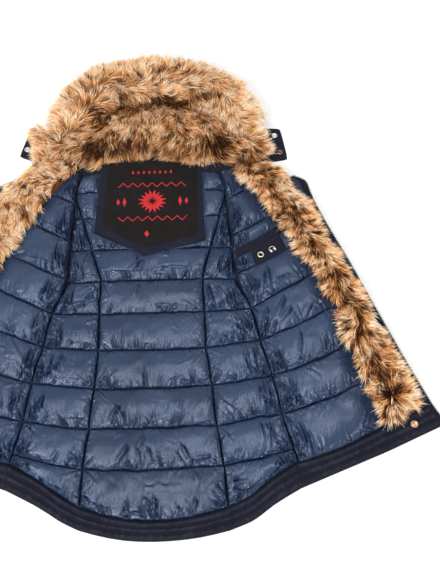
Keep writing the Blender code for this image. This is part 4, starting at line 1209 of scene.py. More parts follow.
def pile(name, node, skin, flow, tone, count, length, seed, material, side=1, tip=1.0, swirl=0.75):
    """Hairs on an undercoat grid, as tapering ribbons of three spans, in place of a node.

    A hair leaves the undercoat by its normal and bends over along the flow: it rises
    as 0.85 * t - 0.55 * t * t of its length and runs out as 0.45 * t + 0.42 * t * t.
    Hairs of one strand share their tone and draw together towards the tip, strands of
    one lock share their turn, and guard hairs are longer and finer.
    """
    rng = np.random.default_rng(seed)
    root, normal, row, col = scatter(skin, count, rng)
    x, y = root[:, 0], root[:, 1]
    middle, chance = locks(x, y, LOCK, seed)
    strand, strand_chance = locks(x, y, STRAND, seed + 20)
    guard = rng.random(count) < GUARD
    angle = swirl * noise(x / 36, y / 36, seed + 5) + 0.46 * chance[0] + 0.28 * strand_chance[0]
    angle = angle + 0.18 * rng.standard_normal(count)
    direction = turned(unit(flow(row, col)), angle)
    direction = np.column_stack([direction, np.zeros(count)])
    direction = unit(direction - normal * (direction * normal).sum(axis=1, keepdims=True))
    long = length * (1.0 + 0.12 * chance[1] + 0.10 * rng.standard_normal(count) + 0.30 * guard)
    lift = 0.85 * (1.0 + 0.25 * noise(x / 19, y / 19, seed + 6) + 0.10 * rng.standard_normal(count))
    beside = unit(np.cross(direction, normal))
    t = HAIR_PLACES[None, :, None]
    rise = lift[:, None, None] * t - 0.55 * t * t
    run = 0.45 * t + 0.42 * t * t
    wave = 0.05 * np.sin(2.0 * np.pi * (t * 1.1 + rng.random(count)[:, None, None])) * t
    path = root[:, None] + long[:, None, None] * (normal[:, None] * rise + direction[:, None] * run
                                                 + beside[:, None] * wave)
    gather = TO_LOCK * (middle.T - root[:, :2]) + TO_STRAND * (strand.T - root[:, :2])
    path[..., :2] += gather[:, None] * t ** 1.6
    path = clear_of_tabs(path, 1.0 + 0.12 * strand_chance[0], side)
    roll = 0.7 * rng.standard_normal(count)[:, None]
    flat = beside * np.cos(roll) + normal * np.sin(roll)
    wide = HAIR_WIDTH * (0.65 + 0.6 * rng.random(count)) * (1.0 - 0.4 * guard)
    reach = 0.5 * wide[:, None, None] * HAIR_WIDTHS[None, :, None] * flat[:, None]
    path[..., 2] = np.maximum(path[..., 2], 0.8)
    points, quads, tips = hair_faces(path, reach)
    values = np.zeros(points.shape)
    values[..., 0] = np.append(np.repeat(HAIR_PLACES[:-1], 2), 1.0) * tip
    shade = 0.10 * chance[1] + 0.40 * strand_chance[1] + 0.18 * rng.standard_normal(count)
    seen = path[:, 2]
    values[..., 1] = np.clip(tone(row, col, side * seen[:, 0], seen[:, 1]) + shade, 0, 1)[:, None]
    values[..., 2] = rng.random(count)[:, None]
    if side < 0:
        quads, tips = quads[:, ::-1], tips[:, ::-1]
    points, values = points.reshape(-1, 3) * [side, 1.0, 1.0], values.reshape(-1, 3)
    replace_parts(ribbons(name, points, quads, tips, values, material), node)


def ribbons(name, points, quads, tips, values, material):
    """Piece of four-sided and three-sided faces, with the pile's values of its points."""
    mesh = bpy.data.meshes.new(name)
    mesh.vertices.add(len(points))
    mesh.vertices.foreach_set("co", (settled(points) * MM).astype(np.float32).ravel())
    corners = np.concatenate([quads.ravel(), tips.ravel()])
    mesh.loops.add(len(corners))
    mesh.loops.foreach_set("vertex_index", corners.astype(np.int32))
    mesh.polygons.add(len(quads) + len(tips))
    starts = np.concatenate([np.arange(len(quads)) * 4, len(quads) * 4 + np.arange(len(tips)) * 3])
    mesh.polygons.foreach_set("loop_start", starts.astype(np.int32))
    mesh.update(calc_edges=True)
    mesh.shade_smooth()
    store(mesh, "pile", values)
    return coat_piece(name, mesh, material, "fur_honey")


def undercoat(name, skin, low, material, side=1):
    """Dense short hair below the pile: a soft lumpy solid, dark on top and brown down its sides."""
    x, y, height = np.moveaxis(skin, -1, 0)
    rim = np.ones(x.shape)
    rim[1:-1, 1:-1] = 0.0
    lumps = 1.2 * noise(x / 5, y / 5, 90) + 0.8 * noise(x / 2.5, y / 2.5, 91)
    closed_grid(name, skin[..., :2], height + lumps, low, material, "fur_honey", side, skip=4,
                attributes={"pile": rim[..., None] * RIM_PILE})


def row_below(place, count):
    """Number of the grid row at or before a place from 0 to 1 down count rows."""
    return np.minimum((place * (count - 1)).astype(int), count - 1)


def side_pile(name, node, skin, outward, low, count, seed, material, side=1):
    """Shorter pile down the outer side of an undercoat, on a wall leaning outwards."""
    top = skin[:, -1]
    foot = np.column_stack([top[:, :2] + SIDE_LEAN * outward, np.full(len(top), 1.0) + np.ravel(low)])
    share = np.linspace(0.0, 1.0, 4)[:, None]
    wall = top[:, None] * (1 - share) + foot[:, None] * share

    def flow(row, _):
        return outward[row_below(row, len(outward))]

    def tone(_row, _col, x, y):
        return tone_at(x, y, seed) + 0.12

    pile(name, node, wall, flow, tone, count, SIDE_HAIR, seed, material, side)


def rolled(section, power=2.6):
    """Height of a soft roll over its section from -1 to 1: 1 in the middle, 0 at the edges."""
    return (1.0 - np.abs(section) ** power) ** 0.5


def eased_ends(count):
    """Places from -1 to 1, closer together at both ends: the sine of even angles."""
    return np.sin(np.linspace(-0.5, 0.5, count) * np.pi)


def strip_fur(side, material):
    """Pile along one front: parted along its middle, with a whorl at the lower end."""
    begin = 0.10 if side > 0 else -0.36
    rows = np.linspace(begin, LAST_ROW - 0.14, 156)[:, None]
    if side > 0:
        inner = -0.68 + 0.07 * np.sin(rows * 5.3 + 0.6)
        outer = 0.52 - 0.32 * bump(rows, 1.5, 0.45) - 0.19 * bump(rows, 4.6, 1.6)
    else:
        inner = -0.86
        outer = 0.52 + 0.40 * (1.0 - ease(-0.2, 0.25, rows))
    section = inner + (outer - inner) * np.linspace(0.0, 1.0, 17)
    to_end = LAST_ROW - 0.03 - rows
    narrow = 1.0 - 0.31 * (1.0 - np.sqrt(1.0 - (1.0 - np.clip(to_end / 0.45, 0, 1)) ** 2))
    across = 1.45 + 0.45 * narrow * section
    plan, low = front_plan(rows, across), front_low(rows, across) + SHELL + GAP + SEAM + GAP
    ahead = front_plan(0.6, across) - front_plan(0.0, across)
    plan = plan + np.minimum(rows, 0.0)[..., None] * ahead / 0.6
    lengthwise = np.sqrt(ease(begin - 0.10, begin + 0.25, rows) * ease(0.0, 0.40, to_end))
    height = FUR_STRIP * SKIN_SHARE * lengthwise * rolled(section)
    skin = np.dstack([plan, low + 1.5 + height])
    outward = unit(front_plan(rows, 1.9) - front_plan(rows, 1.0))[:, 0]
    down = unit(np.gradient(front_plan(rows, 1.45)[:, 0], axis=0))
    spread, drop = (1.15, 0.80) if side > 0 else (0.4, 1.1)
    dark, flecked, pale = (0.20, 0.9, 0.33) if side > 0 else (0.0, 0.4, 0.44)

    def flow(row, col):
        near = row_below(row, len(rows))
        s = (2 * col - 1)[:, None] + 0.25 * noise(row * 22, 0.0, 45)[:, None]
        end = ease(0.90, 0.96, row)[:, None]
        downward = drop * (1 - end) + end * np.clip((row[:, None] - 0.962) * 45, -1.2, 1.6)
        return outward[near] * spread * np.where(s < 0, 0.8 * s, s) + down[near] * downward

    def tone(row, col, x, y):
        s = 2 * col - 1
        parting = dark * bump(s, -0.1, 0.36) * (0.8 + 0.6 * noise(row * 26, s * 2.0, 47))
        flecks = flecked * np.clip(noise(x / 9, y / 11, 48) - 0.08, 0.0, 1.0)
        return (tone_at(x, y, 40 + side) + 0.46 * ease(0.35, 0.9, s) + 0.12 * ease(0.5, 1.0, -s)
                + 0.25 * ease(0.95, 1.0, row) - parting - flecks * (1.0 - ease(0.5, 0.9, s)) + pale - 0.30)

    name = SIDES[side]
    undercoat(f"fur_undercoat_front_{name}", skin, low - 0.2, material, side)
    node = f"fur_front_{name}"
    pile(f"fur_pile_front_{name}", node, skin, flow, tone, 21000, 20.0, 50 + side, material, side,
         swirl=1.25)
    side_pile(f"fur_side_front_{name}", node, skin, outward, low[:, -1], 1400, 90 + side, material, side)


def brim_fur(material):
    """Roll of pile round the face edge of the hood, combed outwards and over its inner side."""
    at = eased_ends(170) * 0.985
    centre, outward, half, height = (part[:, None] for part in brim_frame(at))
    share = np.linspace(0.0, 1.0, 27)
    inset = np.interp(at, *BRIM_INSET)[:, None]
    section = -0.90 + (0.90 + 1.0 - inset / half) * share
    plan = centre + outward * (half * section)[..., None]
    lengthwise = np.sqrt(ease(0.0, 0.10, 1.02 - np.abs(at)))[:, None]
    waves = 1.0 + 0.05 * np.sin(at * 17.0 + 1.0)[:, None]
    skin = np.dstack([plan, ON_HOOD + 3.0 + 0.72 * height * lengthwise * waves * rolled(section)])
    ahead = unit(np.gradient(centre[:, 0], axis=0))

    def flow(row, col):
        near = row_below(row, len(at))
        s = 2 * col - 1 + 0.22 * noise(at[near] * 6, 0.0, 72) + 0.4 * noise(at[near] * 19, col * 4, 73)
        drift = 0.42 + 0.25 * at[near] + 0.3 * noise(at[near] * 7, s * 1.5, 71)
        drift = drift - 1.1 * bump(at[near], -0.75, 0.07) * ease(-0.2, 0.4, s)
        outwards = 1.3 * s + 0.25 + 0.65 * (1.0 - ease(-0.75, -0.35, at[near]))
        return outward[near, 0] * outwards[:, None] + ahead[near] * drift[:, None]

    def tone(_, col, x, y):
        ends = 0.11 * ease(60.0, 190.0, np.abs(x + 10.0))
        return tone_at(x, y, 60) + 0.36 * ease(0.6, 1.0, col) - 0.06 * ease(0.7, 1.0, 1 - col) + ends

    undercoat("fur_undercoat_brim", skin, ON_HOOD, material)
    pile("fur_pile_brim", "hood_fur_brim", skin, flow, tone, 36000, 28.0, 61, material, swirl=1.05)
    side_pile("fur_side_brim", "hood_fur_brim", skin, outward[:, 0], ON_HOOD, 3500, 95, material)


def hood_lining_fur(material):
    """Pile inside the hood, combed down over the neck seam."""
    at = eased_ends(120)
    centre, outward, half, _ = brim_frame(at)
    far = centre - outward * (half * 0.92)[:, None]
    near_x = far[:, 0] * np.minimum(1.0, 0.94 + 0.06 * np.abs(at))
    near = np.column_stack([near_x, np.interp(near_x, NAPE_X, NAPE_Y)])
    share = np.linspace(0.0, 1.0, 40)
    plan = ruled(near[:, None], far[:, None], share)
    dome = (1.0 - np.abs(2 * share - 1.0) ** 3.0) ** 0.5
    sideways = np.sqrt(ease(0.0, 0.25, 1.05 - np.abs(at)))[:, None]
    skin = np.dstack([plan, ON_HOOD + 4.0 + 0.68 * FUR_LINING * sideways * dome])
    downward = unit(near - far)

    def flow(row, _):
        place = row_below(row, len(at))
        return downward[place] + np.column_stack([0.55 * at[place], np.zeros(len(place))])

    def tone(_, col, x, y):
        return tone_at(x, y, 80) + 0.03 - 0.26 * bump(col, 0.14, 0.12) + 0.24 * ease(0.93, 1.0, 1 - col)

    undercoat("fur_undercoat_hood", skin, ON_HOOD, material)
    pile("fur_pile_hood", "hood_fur_lining", skin, flow, tone, 27000, 27.0, 81, material,
         tip=0.9, swirl=0.95)


# ---- facings, label and pocket

def shield_plan(outline, rows, columns):
    """Grid over a six cornered shield, of lines from its top edge to its pointed lower one,
    and each point's distance inside the outline."""
    top, left_top, left_low, tip, right_low, right_top = np.asarray(outline, dtype=float)
    u, v = np.linspace(-1.0, 1.0, columns)[:, None], np.linspace(0.0, 1.0, rows)[:, None, None]
    start = top + (np.where(u > 0, right_top, left_top) - top) * np.abs(u)
    end = tip + (np.where(u > 0, right_low, left_low) - tip) * np.abs(u)
    plan = start + (end - start) * v
    return plan, -outside(outline, plan[..., 0], plan[..., 1])


def under_facing(x, y):
    """How far the lining rises below the neck facing: a soft swell with slanting wrinkles."""
    inner = ease(0.0, 22.0, -outside(FACING_LAID, x, y))
    wrinkles = 0.9 * ridges((x + 1.3 * y) / 60, (y - x) / 150, 101, 0.35)
    wrinkles += 0.7 * ridges((x - 0.8 * y) / 52, (y + x) / 130, 102, 0.35)
    wrinkles += 0.5 * ridges(x / 26, y / 90, 103, 0.35)
    return inner * (FACING_SWELL + 0.5 * noise(x / 60, y / 45, 104) + 0.8 * wrinkles)


def label_low(x, y):
    """Underside of the label, on the facing."""
    return ON_LINING + under_facing(x, y) + SHEET + LABEL_GAP


def label_top(x, y):
    """Upper side of the label, where the motif is sewn."""
    return label_low(x, y) + LABEL_SHEET


def neck_facing(navy, black):
    """Facing laid on the lining, with its turned edge, and the label patch sewn to it."""
    plan, inside = shield_plan(FACING_LAID, 70, 76)
    low = ON_LINING + under_facing(plan[..., 0], plan[..., 1])
    turned_edge = 0.5 * ease(0.0, 1.0, inside) * (1 - ease(5.0, 7.0, inside))
    top = low + (SHEET * (0.6 + 0.4 * ease(0.0, 1.5, inside)) + turned_edge)
    facing = closed_grid("neck_facing_cloth", plan, top, low, navy, "facing_navy", skip=3)
    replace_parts(facing, "neck_facing")
    plan, inside = shield_plan(LABEL_LAID, 66, 70)
    low = label_low(plan[..., 0], plan[..., 1])
    top = low + LABEL_SHEET * (0.5 + 0.5 * ease(0.0, 1.2, inside)) - 0.30 * bump(inside, EDGE_STITCH, 0.7)
    label = closed_grid("neck_label_cloth", plan, top, low, black, "label_black", skip=3)
    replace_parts(label, "neck_label")


def satin(name, kites, material, slot, top_of, rise=0.55):
    """Padded satin stitch: four sided patches (four plan corners each) with a raised middle."""
    corners = np.asarray(kites, dtype=float)
    middle = corners.mean(axis=1, keepdims=True)
    plan = np.concatenate([corners, corners, middle], axis=1)
    height = top_of(plan[..., 0], plan[..., 1]) + np.array([0.05] * 4 + [0.35] * 4 + [0.35 + rise])
    points = np.dstack([plan, height])
    turn = np.sign(np.cross(corners[:, 1] - corners[:, 0], corners[:, 2] - corners[:, 1]))
    shape = [(3, 2, 1, 0)]
    shape += [(k, (k + 1) % 4, 4 + (k + 1) % 4, 4 + k) for k in range(4)]
    shape += [(4 + k, 4 + (k + 1) % 4, 8) for k in range(4)]
    faces = repeated(shape, 9, len(corners))
    faces = [face if turn[number // 9] > 0 else face[::-1] for number, face in enumerate(faces)]
    add_piece(name, points.reshape(-1, 3), faces, material, slot, angle=30.0)


def kite(centre, length, width, turn):
    """Corners of a diamond, its length turned by an angle from +X."""
    cos, sin = np.cos(turn), np.sin(turn)
    ahead, beside = np.array([cos, sin]) * length / 2, np.array([-sin, cos]) * width / 2
    return [centre - ahead, centre - beside, centre + ahead, centre + beside]


def strokes(path, width):
    """Corners of the straight stretches of a line of a width."""
    path = np.asarray(path, dtype=float)
    along = unit(np.diff(path, axis=0))
    beside = np.stack([-along[:, 1], along[:, 0]], axis=1) * width / 2
    return [[a - side, b - side, b + side, a + side] for a, b, side in zip(path[:-1], path[1:], beside)]


def label_motif(red):
    """Folk star between zigzags and rows of small diamonds, in satin stitch."""
    centre_x, centre_y = STAR_AT
    kites = []
    for ray in range(8):
        for lean in (-1, 1):
            turn = ray * np.pi / 4 + lean * 0.20
            reach = 29.0 if ray % 2 == 0 else 27.0
            middle = np.array(STAR_AT) + 0.56 * reach * np.array([np.cos(turn), np.sin(turn)])
            kites.append(kite(middle, 0.80 * reach, 6.4, turn))
    upright = [(centre_x + beside, centre_y, long, 7.0) for beside, long in MOTIF_SIDES]
    upright += [(x, 305.0, 9.0, 5.0) for x in np.linspace(-34.0, 40.0, 8)]
    upright += [(-8.0, 163.0, 15.0, 9.0)]
    kites += [kite(np.array([x, y]), long, wide, np.pi / 2) for x, y, long, wide in upright]
    x = np.linspace(centre_x - 65.0, centre_x + 65.0, 15)
    for side in (1, -1):
        zigzag = side * 5.0 * np.where(np.arange(len(x)) % 2 == 0, -1, 1)
        kites += strokes(np.column_stack([x, centre_y + side * 39.0 + zigzag]), 1.6)
    satin("label_motif", kites, red, "label_black", label_top)


def hem_band(name, node, plan, share, along, seed, material, side=1):
    """Band along the hem, laid on the outer fabric: three ridges over its width (share),
    parted by two stitched grooves and puckered along the hem (along, in mm)."""
    share, along = (np.broadcast_to(part, plan.shape[:2]) for part in (share, along))
    within = ease(0.02, 0.15, share) * (1 - ease(0.86, 0.98, share))
    ripples = 1.3 * ridges((along + 9.0 * share) / 6.5, share * 2.6, seed, 0.6)
    height = between(HEM_STEPS, share * (len(HEM_STEPS) - 1.0))
    height = height + within * (ripples + 0.9 * noise(along / 24, share * 3.0, seed + 1))
    # ridge: how near a point is to a crest; the band's finish paints crests lighter as highlight and
    # grooves darker as shade
    crest = np.clip((height - 3.4) / 3.6, 0.0, 1.0)
    piece = closed_grid(name, plan, ON_SHELL + height, ON_SHELL, material, "shell_navy", side, skip=4,
                        attributes={"ridge": crest})
    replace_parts(piece, node)


def hem_facing_back(material):
    """Band along the hem of the back, ridged along two stitched lines."""
    share = np.linspace(0.0, 1.0, 29)[:, None]
    u = np.linspace(-1.0, 1.0, 240)
    x_top, x_low = u * (BACK_ROWS[-1][3] - GAP), u * (HEM_SIDE[0] - GAP)
    y_centre, x_princess, y_princess, x_side, y_side = BACK_ROWS[-1]
    curve = y_centre + (y_princess - y_centre) * (x_top / x_princess) ** 2
    line = y_princess + (y_side - y_princess) * (np.abs(x_top) - x_princess) / (x_side - x_princess)
    y_top = np.where(np.abs(x_top) < x_princess, curve, line) - 2 * GAP
    start, end = np.column_stack([x_top, y_top]), np.column_stack([x_low, hem_line(x_low)])
    plan = ruled(start, end, share)
    hem_band("hem_band_back", "hem_facing_back", plan, share, x_low, 110,
             material)


def hem_facing_front(side, material):
    """Band along the hem of a front, with the ridges of the back's band."""
    share = np.linspace(0.0, 1.0, 29)[:, None]
    across = np.linspace(0.0, FUR_EDGE, 110)
    plan = front_hem_plan(across, share)
    plan[..., 1] -= 2 * GAP * (1.0 - share)
    name = SIDES[side]
    hem_band(f"hem_band_front_{name}", f"hem_facing_front_{name}", plan, share, across * PANEL + 400.0,
             112 + side, material, side)


def pocket_ground(at, across):
    """Height of the pressed lining of a front, which the pocket lies on."""
    return front_low(at, across) + SHELL + GAP + SEAM + GAP


def pocket(material, print_finish):
    """Welt of the inner pocket, and the plain patch below it with its symbol; its eyelet is made by
    pocket_eyelet.
    """
    for name, rows, columns, size in POCKET:
        v, u = np.linspace(0.0, 1.0, 30)[:, None], np.linspace(0.0, 1.0, 70)
        at, across = rows[0] + (rows[1] - rows[0]) * v, columns[0] + (columns[1] - columns[0]) * u
        plan = front_plan(at, across)
        low = pocket_ground(at, across)
        near = np.minimum(np.minimum(v, 1 - v) * 25.0, np.minimum(u, 1 - u) * 70.0)
        sheet = POCKET_SHEET * (0.45 + 0.55 * ease(0.0, 1.6, near)) - 0.35 * bump(near, EDGE_STITCH, 0.8)
        top = low + (sheet + 0.35 * noise(u * 5.0, v * 2.0, 120) * ease(0, 5, near))
        piece = closed_grid(f"pocket_{name}", plan, top, low, material, "facing_navy", skip=3)
        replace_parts(piece, "pocket_panel")
    pocket_symbol(print_finish)


def pocket_symbol(material):
    """Pair of headphones in print: a bow of eight strokes and two cups, turned by 33 degrees."""
    turns = np.linspace(0.05, 0.95, 9) * np.pi
    symbol = strokes(np.column_stack([np.cos(turns), np.sin(turns)]) * PICTOGRAM, 0.9)
    for way in (-1, 1):
        beside, below = way * PICTOGRAM * 0.70, PICTOGRAM * -0.30
        symbol.append([(beside - 1.6, below - 2.8), (beside + 1.6, below - 2.8),
                       (beside + 1.9, below + 2.6), (beside - 1.9, below + 2.6)])
    lean = np.radians(33.0)
    spin = np.array([[np.cos(lean), np.sin(lean)], [-np.sin(lean), np.cos(lean)]])
    top = float(pocket_ground(3.5, 0.5)) + POCKET_SHEET + 0.3
    satin("pocket_symbol", np.asarray(symbol) @ spin + PICTOGRAM_AT, material, "facing_navy",
          lambda x, y: np.full(np.shape(x), top), 0.15)


def pocket_eyelet(metal):
    """Pressed eyelet: a rounded flange that turns down into the hole."""
    low = float(pocket_ground(3.5, 0.5)) + POCKET_SHEET + 0.2
    section = round_ring((EYELET_OUTER + EYELET_INNER) / 2 + 0.3, 1.25, 0.9, 12)
    piece = lathe("pocket_eyelet_rim", EYELET_AT, low, section, metal, "snap_silver")
    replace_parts(piece, "pocket_eyelet")


# ---- outer fabric, zips and sleeves

def back_shell(material):
    """Outer fabric of the back, flat on the surface, from the neck to the hem."""
    at = np.linspace(0.0, len(BACK_ROWS) - 1.0, 46)[:, None]
    u = np.linspace(-1.0, 1.0, 41)
    side, centre, edge = (back_point(name, at) for name in ("x_side", "y_centre", "y_side"))
    plan = np.stack([(side - GAP) * u, centre + (edge - centre) * np.abs(u) ** 2.2], axis=-1)
    share = np.linspace(0.1, 1.0, 10)[:, None, None]
    x_low = u * (HEM_SIDE[0] - GAP)
    end = np.column_stack([x_low, hem_line(x_low)])
    plan = np.concatenate([plan, plan[-1] + (end - plan[-1]) * share])
    piece = closed_grid("back_shell_cloth", plan, SHELL, 0.0, material, "shell_navy", skip=2)
    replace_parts(piece, "back_shell")


def front_shell(side, material):
    """Outer fabric of a front: over the sleeve, and flat on the surface at the hem."""
    at = np.linspace(0.0, LAST_ROW, 80)[:, None]
    across = np.linspace(0.0, SHELL_EDGE, 25)
    share = np.linspace(0.08, 1.0, 12)[:, None]
    hem = front_hem_plan(across, share)
    turned_in = 0.08 * carried(at) * (1.0 - across / SHELL_EDGE)
    plan = np.concatenate([front_plan(at, across + turned_in), hem])
    low = np.concatenate([front_low(at, across), np.zeros(hem.shape[:2])])
    name = SIDES[side]
    piece = closed_grid(f"front_shell_{name}_cloth", plan, low + SHELL, low, material, "shell_navy",
                        side, skip=2)
    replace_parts(piece, f"front_shell_{name}")


def swept(name, rings, material, slot, side):
    """Closed solid through rings of points (ring, point, 3), capped at both ends."""
    count, points = rings.shape[:2]
    index = np.arange(count * points).reshape(count, points)
    after = np.roll(index, -1, axis=1)
    faces = four_sided(index[:-1], after[:-1], after[1:], index[1:])
    faces += [index[0, ::-1].tolist(), index[-1].tolist()]
    return add_piece(name, rings.reshape(-1, 3), faces, material, slot, side)


def zip_line():
    """Front edge of a front from the shoulder to the hem: plan, height and outward direction."""
    at = np.linspace(0.45, LAST_ROW, 168)
    edge = np.vstack([front_plan(at, 2.0), front_hem_plan(2.0, np.linspace(0.1, 1.0, 12))])
    low = np.append(front_low(at, 2.0), np.zeros(12))
    along = unit(np.gradient(edge, axis=0))
    return edge, low, np.column_stack([-along[:, 1], along[:, 0]])


def zip_half(side, tape_finish, teeth_finish):
    """Zip tape bound to the front edge, and its moulded teeth."""
    edge, low, outward = zip_line()
    tape = ON_SHELL + 1.5
    section = ((-10.0, ON_SHELL), (-10.0, tape - 0.3), (-9.0, tape), (-4.0, tape + 0.2), (-0.6, tape + 0.1),
               (0.2, tape - 0.5), (0.2, 1.2), (-0.6, 0.9), (-3.4, 0.9), (-3.4, ON_SHELL))
    rings = [np.column_stack([edge + outward * offset, low + height]) for offset, height in section]
    name = SIDES[side]
    tape_piece = swept(f"zip_tape_{name}", np.stack(rings, axis=1), tape_finish, "zip_navy", side)
    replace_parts(tape_piece, f"zip_{name}")
    length = path_length(edge)
    spots = np.arange(4.0, length[-1] - 6.0, ZIP_STEP)
    foot = read_at(np.column_stack([edge, low]), length, spots)
    out = unit(read_at(outward, length, spots))
    ahead = np.column_stack([out[:, 1], -out[:, 0]])
    block = np.array([(-3.0, -0.9, 0.0), (-3.0, 0.9, 0.0), (1.4, 0.7, 0.0), (1.4, -0.7, 0.0),
                      (-2.8, -0.7, 2.0), (-2.8, 0.7, 2.0), (1.0, 0.5, 1.6), (1.0, -0.5, 1.6)])
    plan = foot[:, None, :2] + out[:, None] * block[:, :1] + ahead[:, None] * block[:, 1:2]
    height = foot[:, None, 2] + tape + 0.15 + block[:, 2]
    shape = ((0, 1, 2, 3), (7, 6, 5, 4), (0, 4, 5, 1), (1, 5, 6, 2), (2, 6, 7, 3), (3, 7, 4, 0))
    add_piece(f"zip_teeth_{name}", np.dstack([plan, height]).reshape(-1, 3),
              repeated(shape, len(block), len(spots)), teeth_finish, "zip_navy", side, angle=20.0)


def sleeve(side, material):
    """Padded sleeve laid flat below its front, pressed and lightly creased."""
    rows = np.linspace(0.0, len(SLEEVE_ROWS) - 1.0, 90)[:, None]
    at, start, end = (between(column(SLEEVE_ROWS, SLEEVE_COLUMNS, name), rows) for name in SLEEVE_COLUMNS)
    section = (1.0 - np.cos(np.linspace(0.0, np.pi, 30))) / 2
    start = np.maximum(start, 0.06)
    across = start + (end - start) * section
    plan = front_plan(at, across)
    plan[..., 0] += 3.5
    room = front_low(at, across)
    round_off = rolled(2 * section - 1.0, 5)
    round_end = rolled(2 * rows / rows[-1] - 1.0, 14)
    top = (room - 1.4) * (0.35 + 0.65 * round_off * round_end)
    creases = 0.10 * ridges(rows * 2.6, section * 2.0, 130) * np.clip(room - 3.0, 0.0, 8.0)
    name = SIDES[side]
    piece = closed_grid(f"sleeve_{name}_cloth", plan, np.maximum(top - creases, 0.8), 0.0, material,
                        "shell_navy", side, skip=2)
    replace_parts(piece, f"sleeve_{name}")


# ---- hood fabric, tabs and snaps

def hood_shell(material):
    """Back of the hood's fabric, flat on the surface inside the edge of the fur."""
    at = eased_ends(80)
    centre, outward, half, _ = brim_frame(at)
    far = centre + outward * (half - 13.0)[:, None]
    near = np.column_stack([far[:, 0], neck_line(far[:, 0]) + 2 * GAP])
    share = np.linspace(0.0, 1.0, 24)
    plan = ruled(near[:, None], far[:, None], share)
    piece = closed_grid("hood_shell_cloth", plan, HOOD_SHELL, 0.0, material, "shell_navy", skip=2)
    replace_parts(piece, "hood_shell")


def hood_tab(side, material, thread):
    """Chin tab: two layers turned and stitched round the edge, with soft corners."""
    name = SIDES[side]
    a, b, c, d = (np.array(corner, dtype=float) for corner in TAB_OUTLINE[name])
    u, v = np.linspace(-1.0, 1.0, 32), np.linspace(-1.0, 1.0, 50)[:, None]
    flat_u, flat_v = u * np.sqrt(1.0 - 0.14 * v ** 6), v * np.sqrt(1.0 - 0.10 * u ** 6)
    s, t = (flat_u[..., None] + 1) / 2, (flat_v[..., None] + 1) / 2
    plan = (a * (1 - s) + b * s) * (1 - t) + (d * (1 - s) + c * s) * t
    near = np.minimum(15.0 * (1.0 - np.abs(u)), 38.0 * (1.0 - np.abs(v)))
    top = 1.2 + (TAB - 1.2) * ease(0.0, 1.4, near) - 0.35 * bump(near, EDGE_STITCH, 0.7)
    piece = closed_grid(f"tab_{name}", plan, top, 0.0, material, "shell_navy", side, skip=3)
    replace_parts(piece, f"hood_tab_{name}")
    ring = np.array([a, b, c, d, a])
    ring = ring + (plan.reshape(-1, 2).mean(axis=0) - ring) * 0.14
    ring = np.column_stack([ring, np.full(5, TAB - 0.1)]) * [side, 1.0, 1.0]
    thread_run(f"tab_stitching_{name}", [ring[k:k + 2] for k in range(4)], thread, "shell_navy")


def snap(name, node, centre, low, material, slot, socket_shade=None):
    """Snap fastener: a rolled rim round a shallow dish with a raised boss, or a ring round a navy
    disc that paints the shade in its socket.
    """
    radius, height = SNAP_RADIUS, SNAP_HEIGHT
    if socket_shade:
        middle = 0.66 * radius
        ring = round_ring(middle, 0.28 * radius, 0.5 * height, 14)
        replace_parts(lathe(name, centre, low, ring, material, slot), node)
        # navy disc at the foot of the ring: painted shade in the socket
        disc = [(0.0, 0.0), (middle, 0.0), (middle, 0.3), (0.0, 0.3)]
        lathe(f"{name}_socket", centre, low, disc, socket_shade, slot)
        return
    rim = [(radius - 0.8 + 0.8 * np.cos(turn), height - 0.8 + 0.8 * np.sin(turn))
           for turn in np.linspace(0, np.pi, 8)]
    section = [(0.0, 0.0), (radius - 0.4, 0.0), *rim, (radius - 1.9, 0.5 * height),
               (0.45 * radius, 0.42 * height), (0.36 * radius, 0.72 * height),
               (0.20 * radius, 0.84 * height), (0.0, 0.86 * height)]
    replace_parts(lathe(name, centre, low, section, material, slot), node)


def snaps(metals, socket_shade):
    """Snap fasteners of both chin tabs and both lower front corners."""
    for side, name in SIDES.items():
        for place, (x, y, slot) in TAB_SNAPS[name].items():
            socket = slot == "snap_copper"
            # sockets get copper darkened as painted shade, and a navy disc of painted shade inside
            snap(f"snap_{place}_{name}", f"tab_snap_{place}_{name}", (side * x, y), TAB + GAP,
                 metals["shaded_snap_rim" if socket else slot], slot, socket_shade if socket else None)
        low = ON_SHELL + max(HEM_STEPS) + GAP
        snap(f"snap_hem_{name}", f"hem_snap_{name}", (side * HEM_SNAP[0], HEM_SNAP[1]), low,
             metals["snap_copper"], "snap_copper")


def seam_path(plan, carried_by=0.0):
    """Path in the bottom of a quilting line's valley, on a layer at some height."""
    return np.column_stack([sway(plan), np.broadcast_to(carried_by + (ON_SHELL + SEAM + 0.25), len(plan))])


def quilting_stitches(thread):
    """Stitches along every quilting line, but for those under the facing."""
    back = []
    u = np.linspace(-0.99, 0.99, 60)
    for at in range(1, len(BACK_ROWS)):
        half, centre, edge = (back_point(name, at) for name in ("x_princess", "y_centre", "y_princess"))
        plan = np.column_stack([half * u, centre + (edge - centre) * u ** 2])
        plan = plan[outside(FACING_LAID, plan[:, 0], plan[:, 1]) > 1.0]
        gaps = np.flatnonzero(np.diff(plan[:, 0]) > 20.0)
        back += [seam_path(part) for part in np.split(plan, gaps + 1) if len(part) > 2]
    thread_run("stitches_back", back, thread, "lining_blue")
    for side, name in SIDES.items():
        paths = []
        for at in range(2, len(BACK_ROWS)):
            begin, end = (np.array([back_point(f"{axis}_{seam}", at) for axis in "xy"])
                          for seam in ("princess", "side"))
            paths.append(seam_path(ruled(begin, end, np.linspace(0.03, 0.97, 30)) * [side, 1.0]))
        for at in front_marks(side)[1:]:
            across = np.linspace(0.02, 0.98, 40)
            paths.append(seam_path(front_plan(at, across) * [side, 1.0], front_low(at, across)))
        thread_run(f"stitches_{name}", paths, thread, "lining_blue")


# ---- stage, light and camera

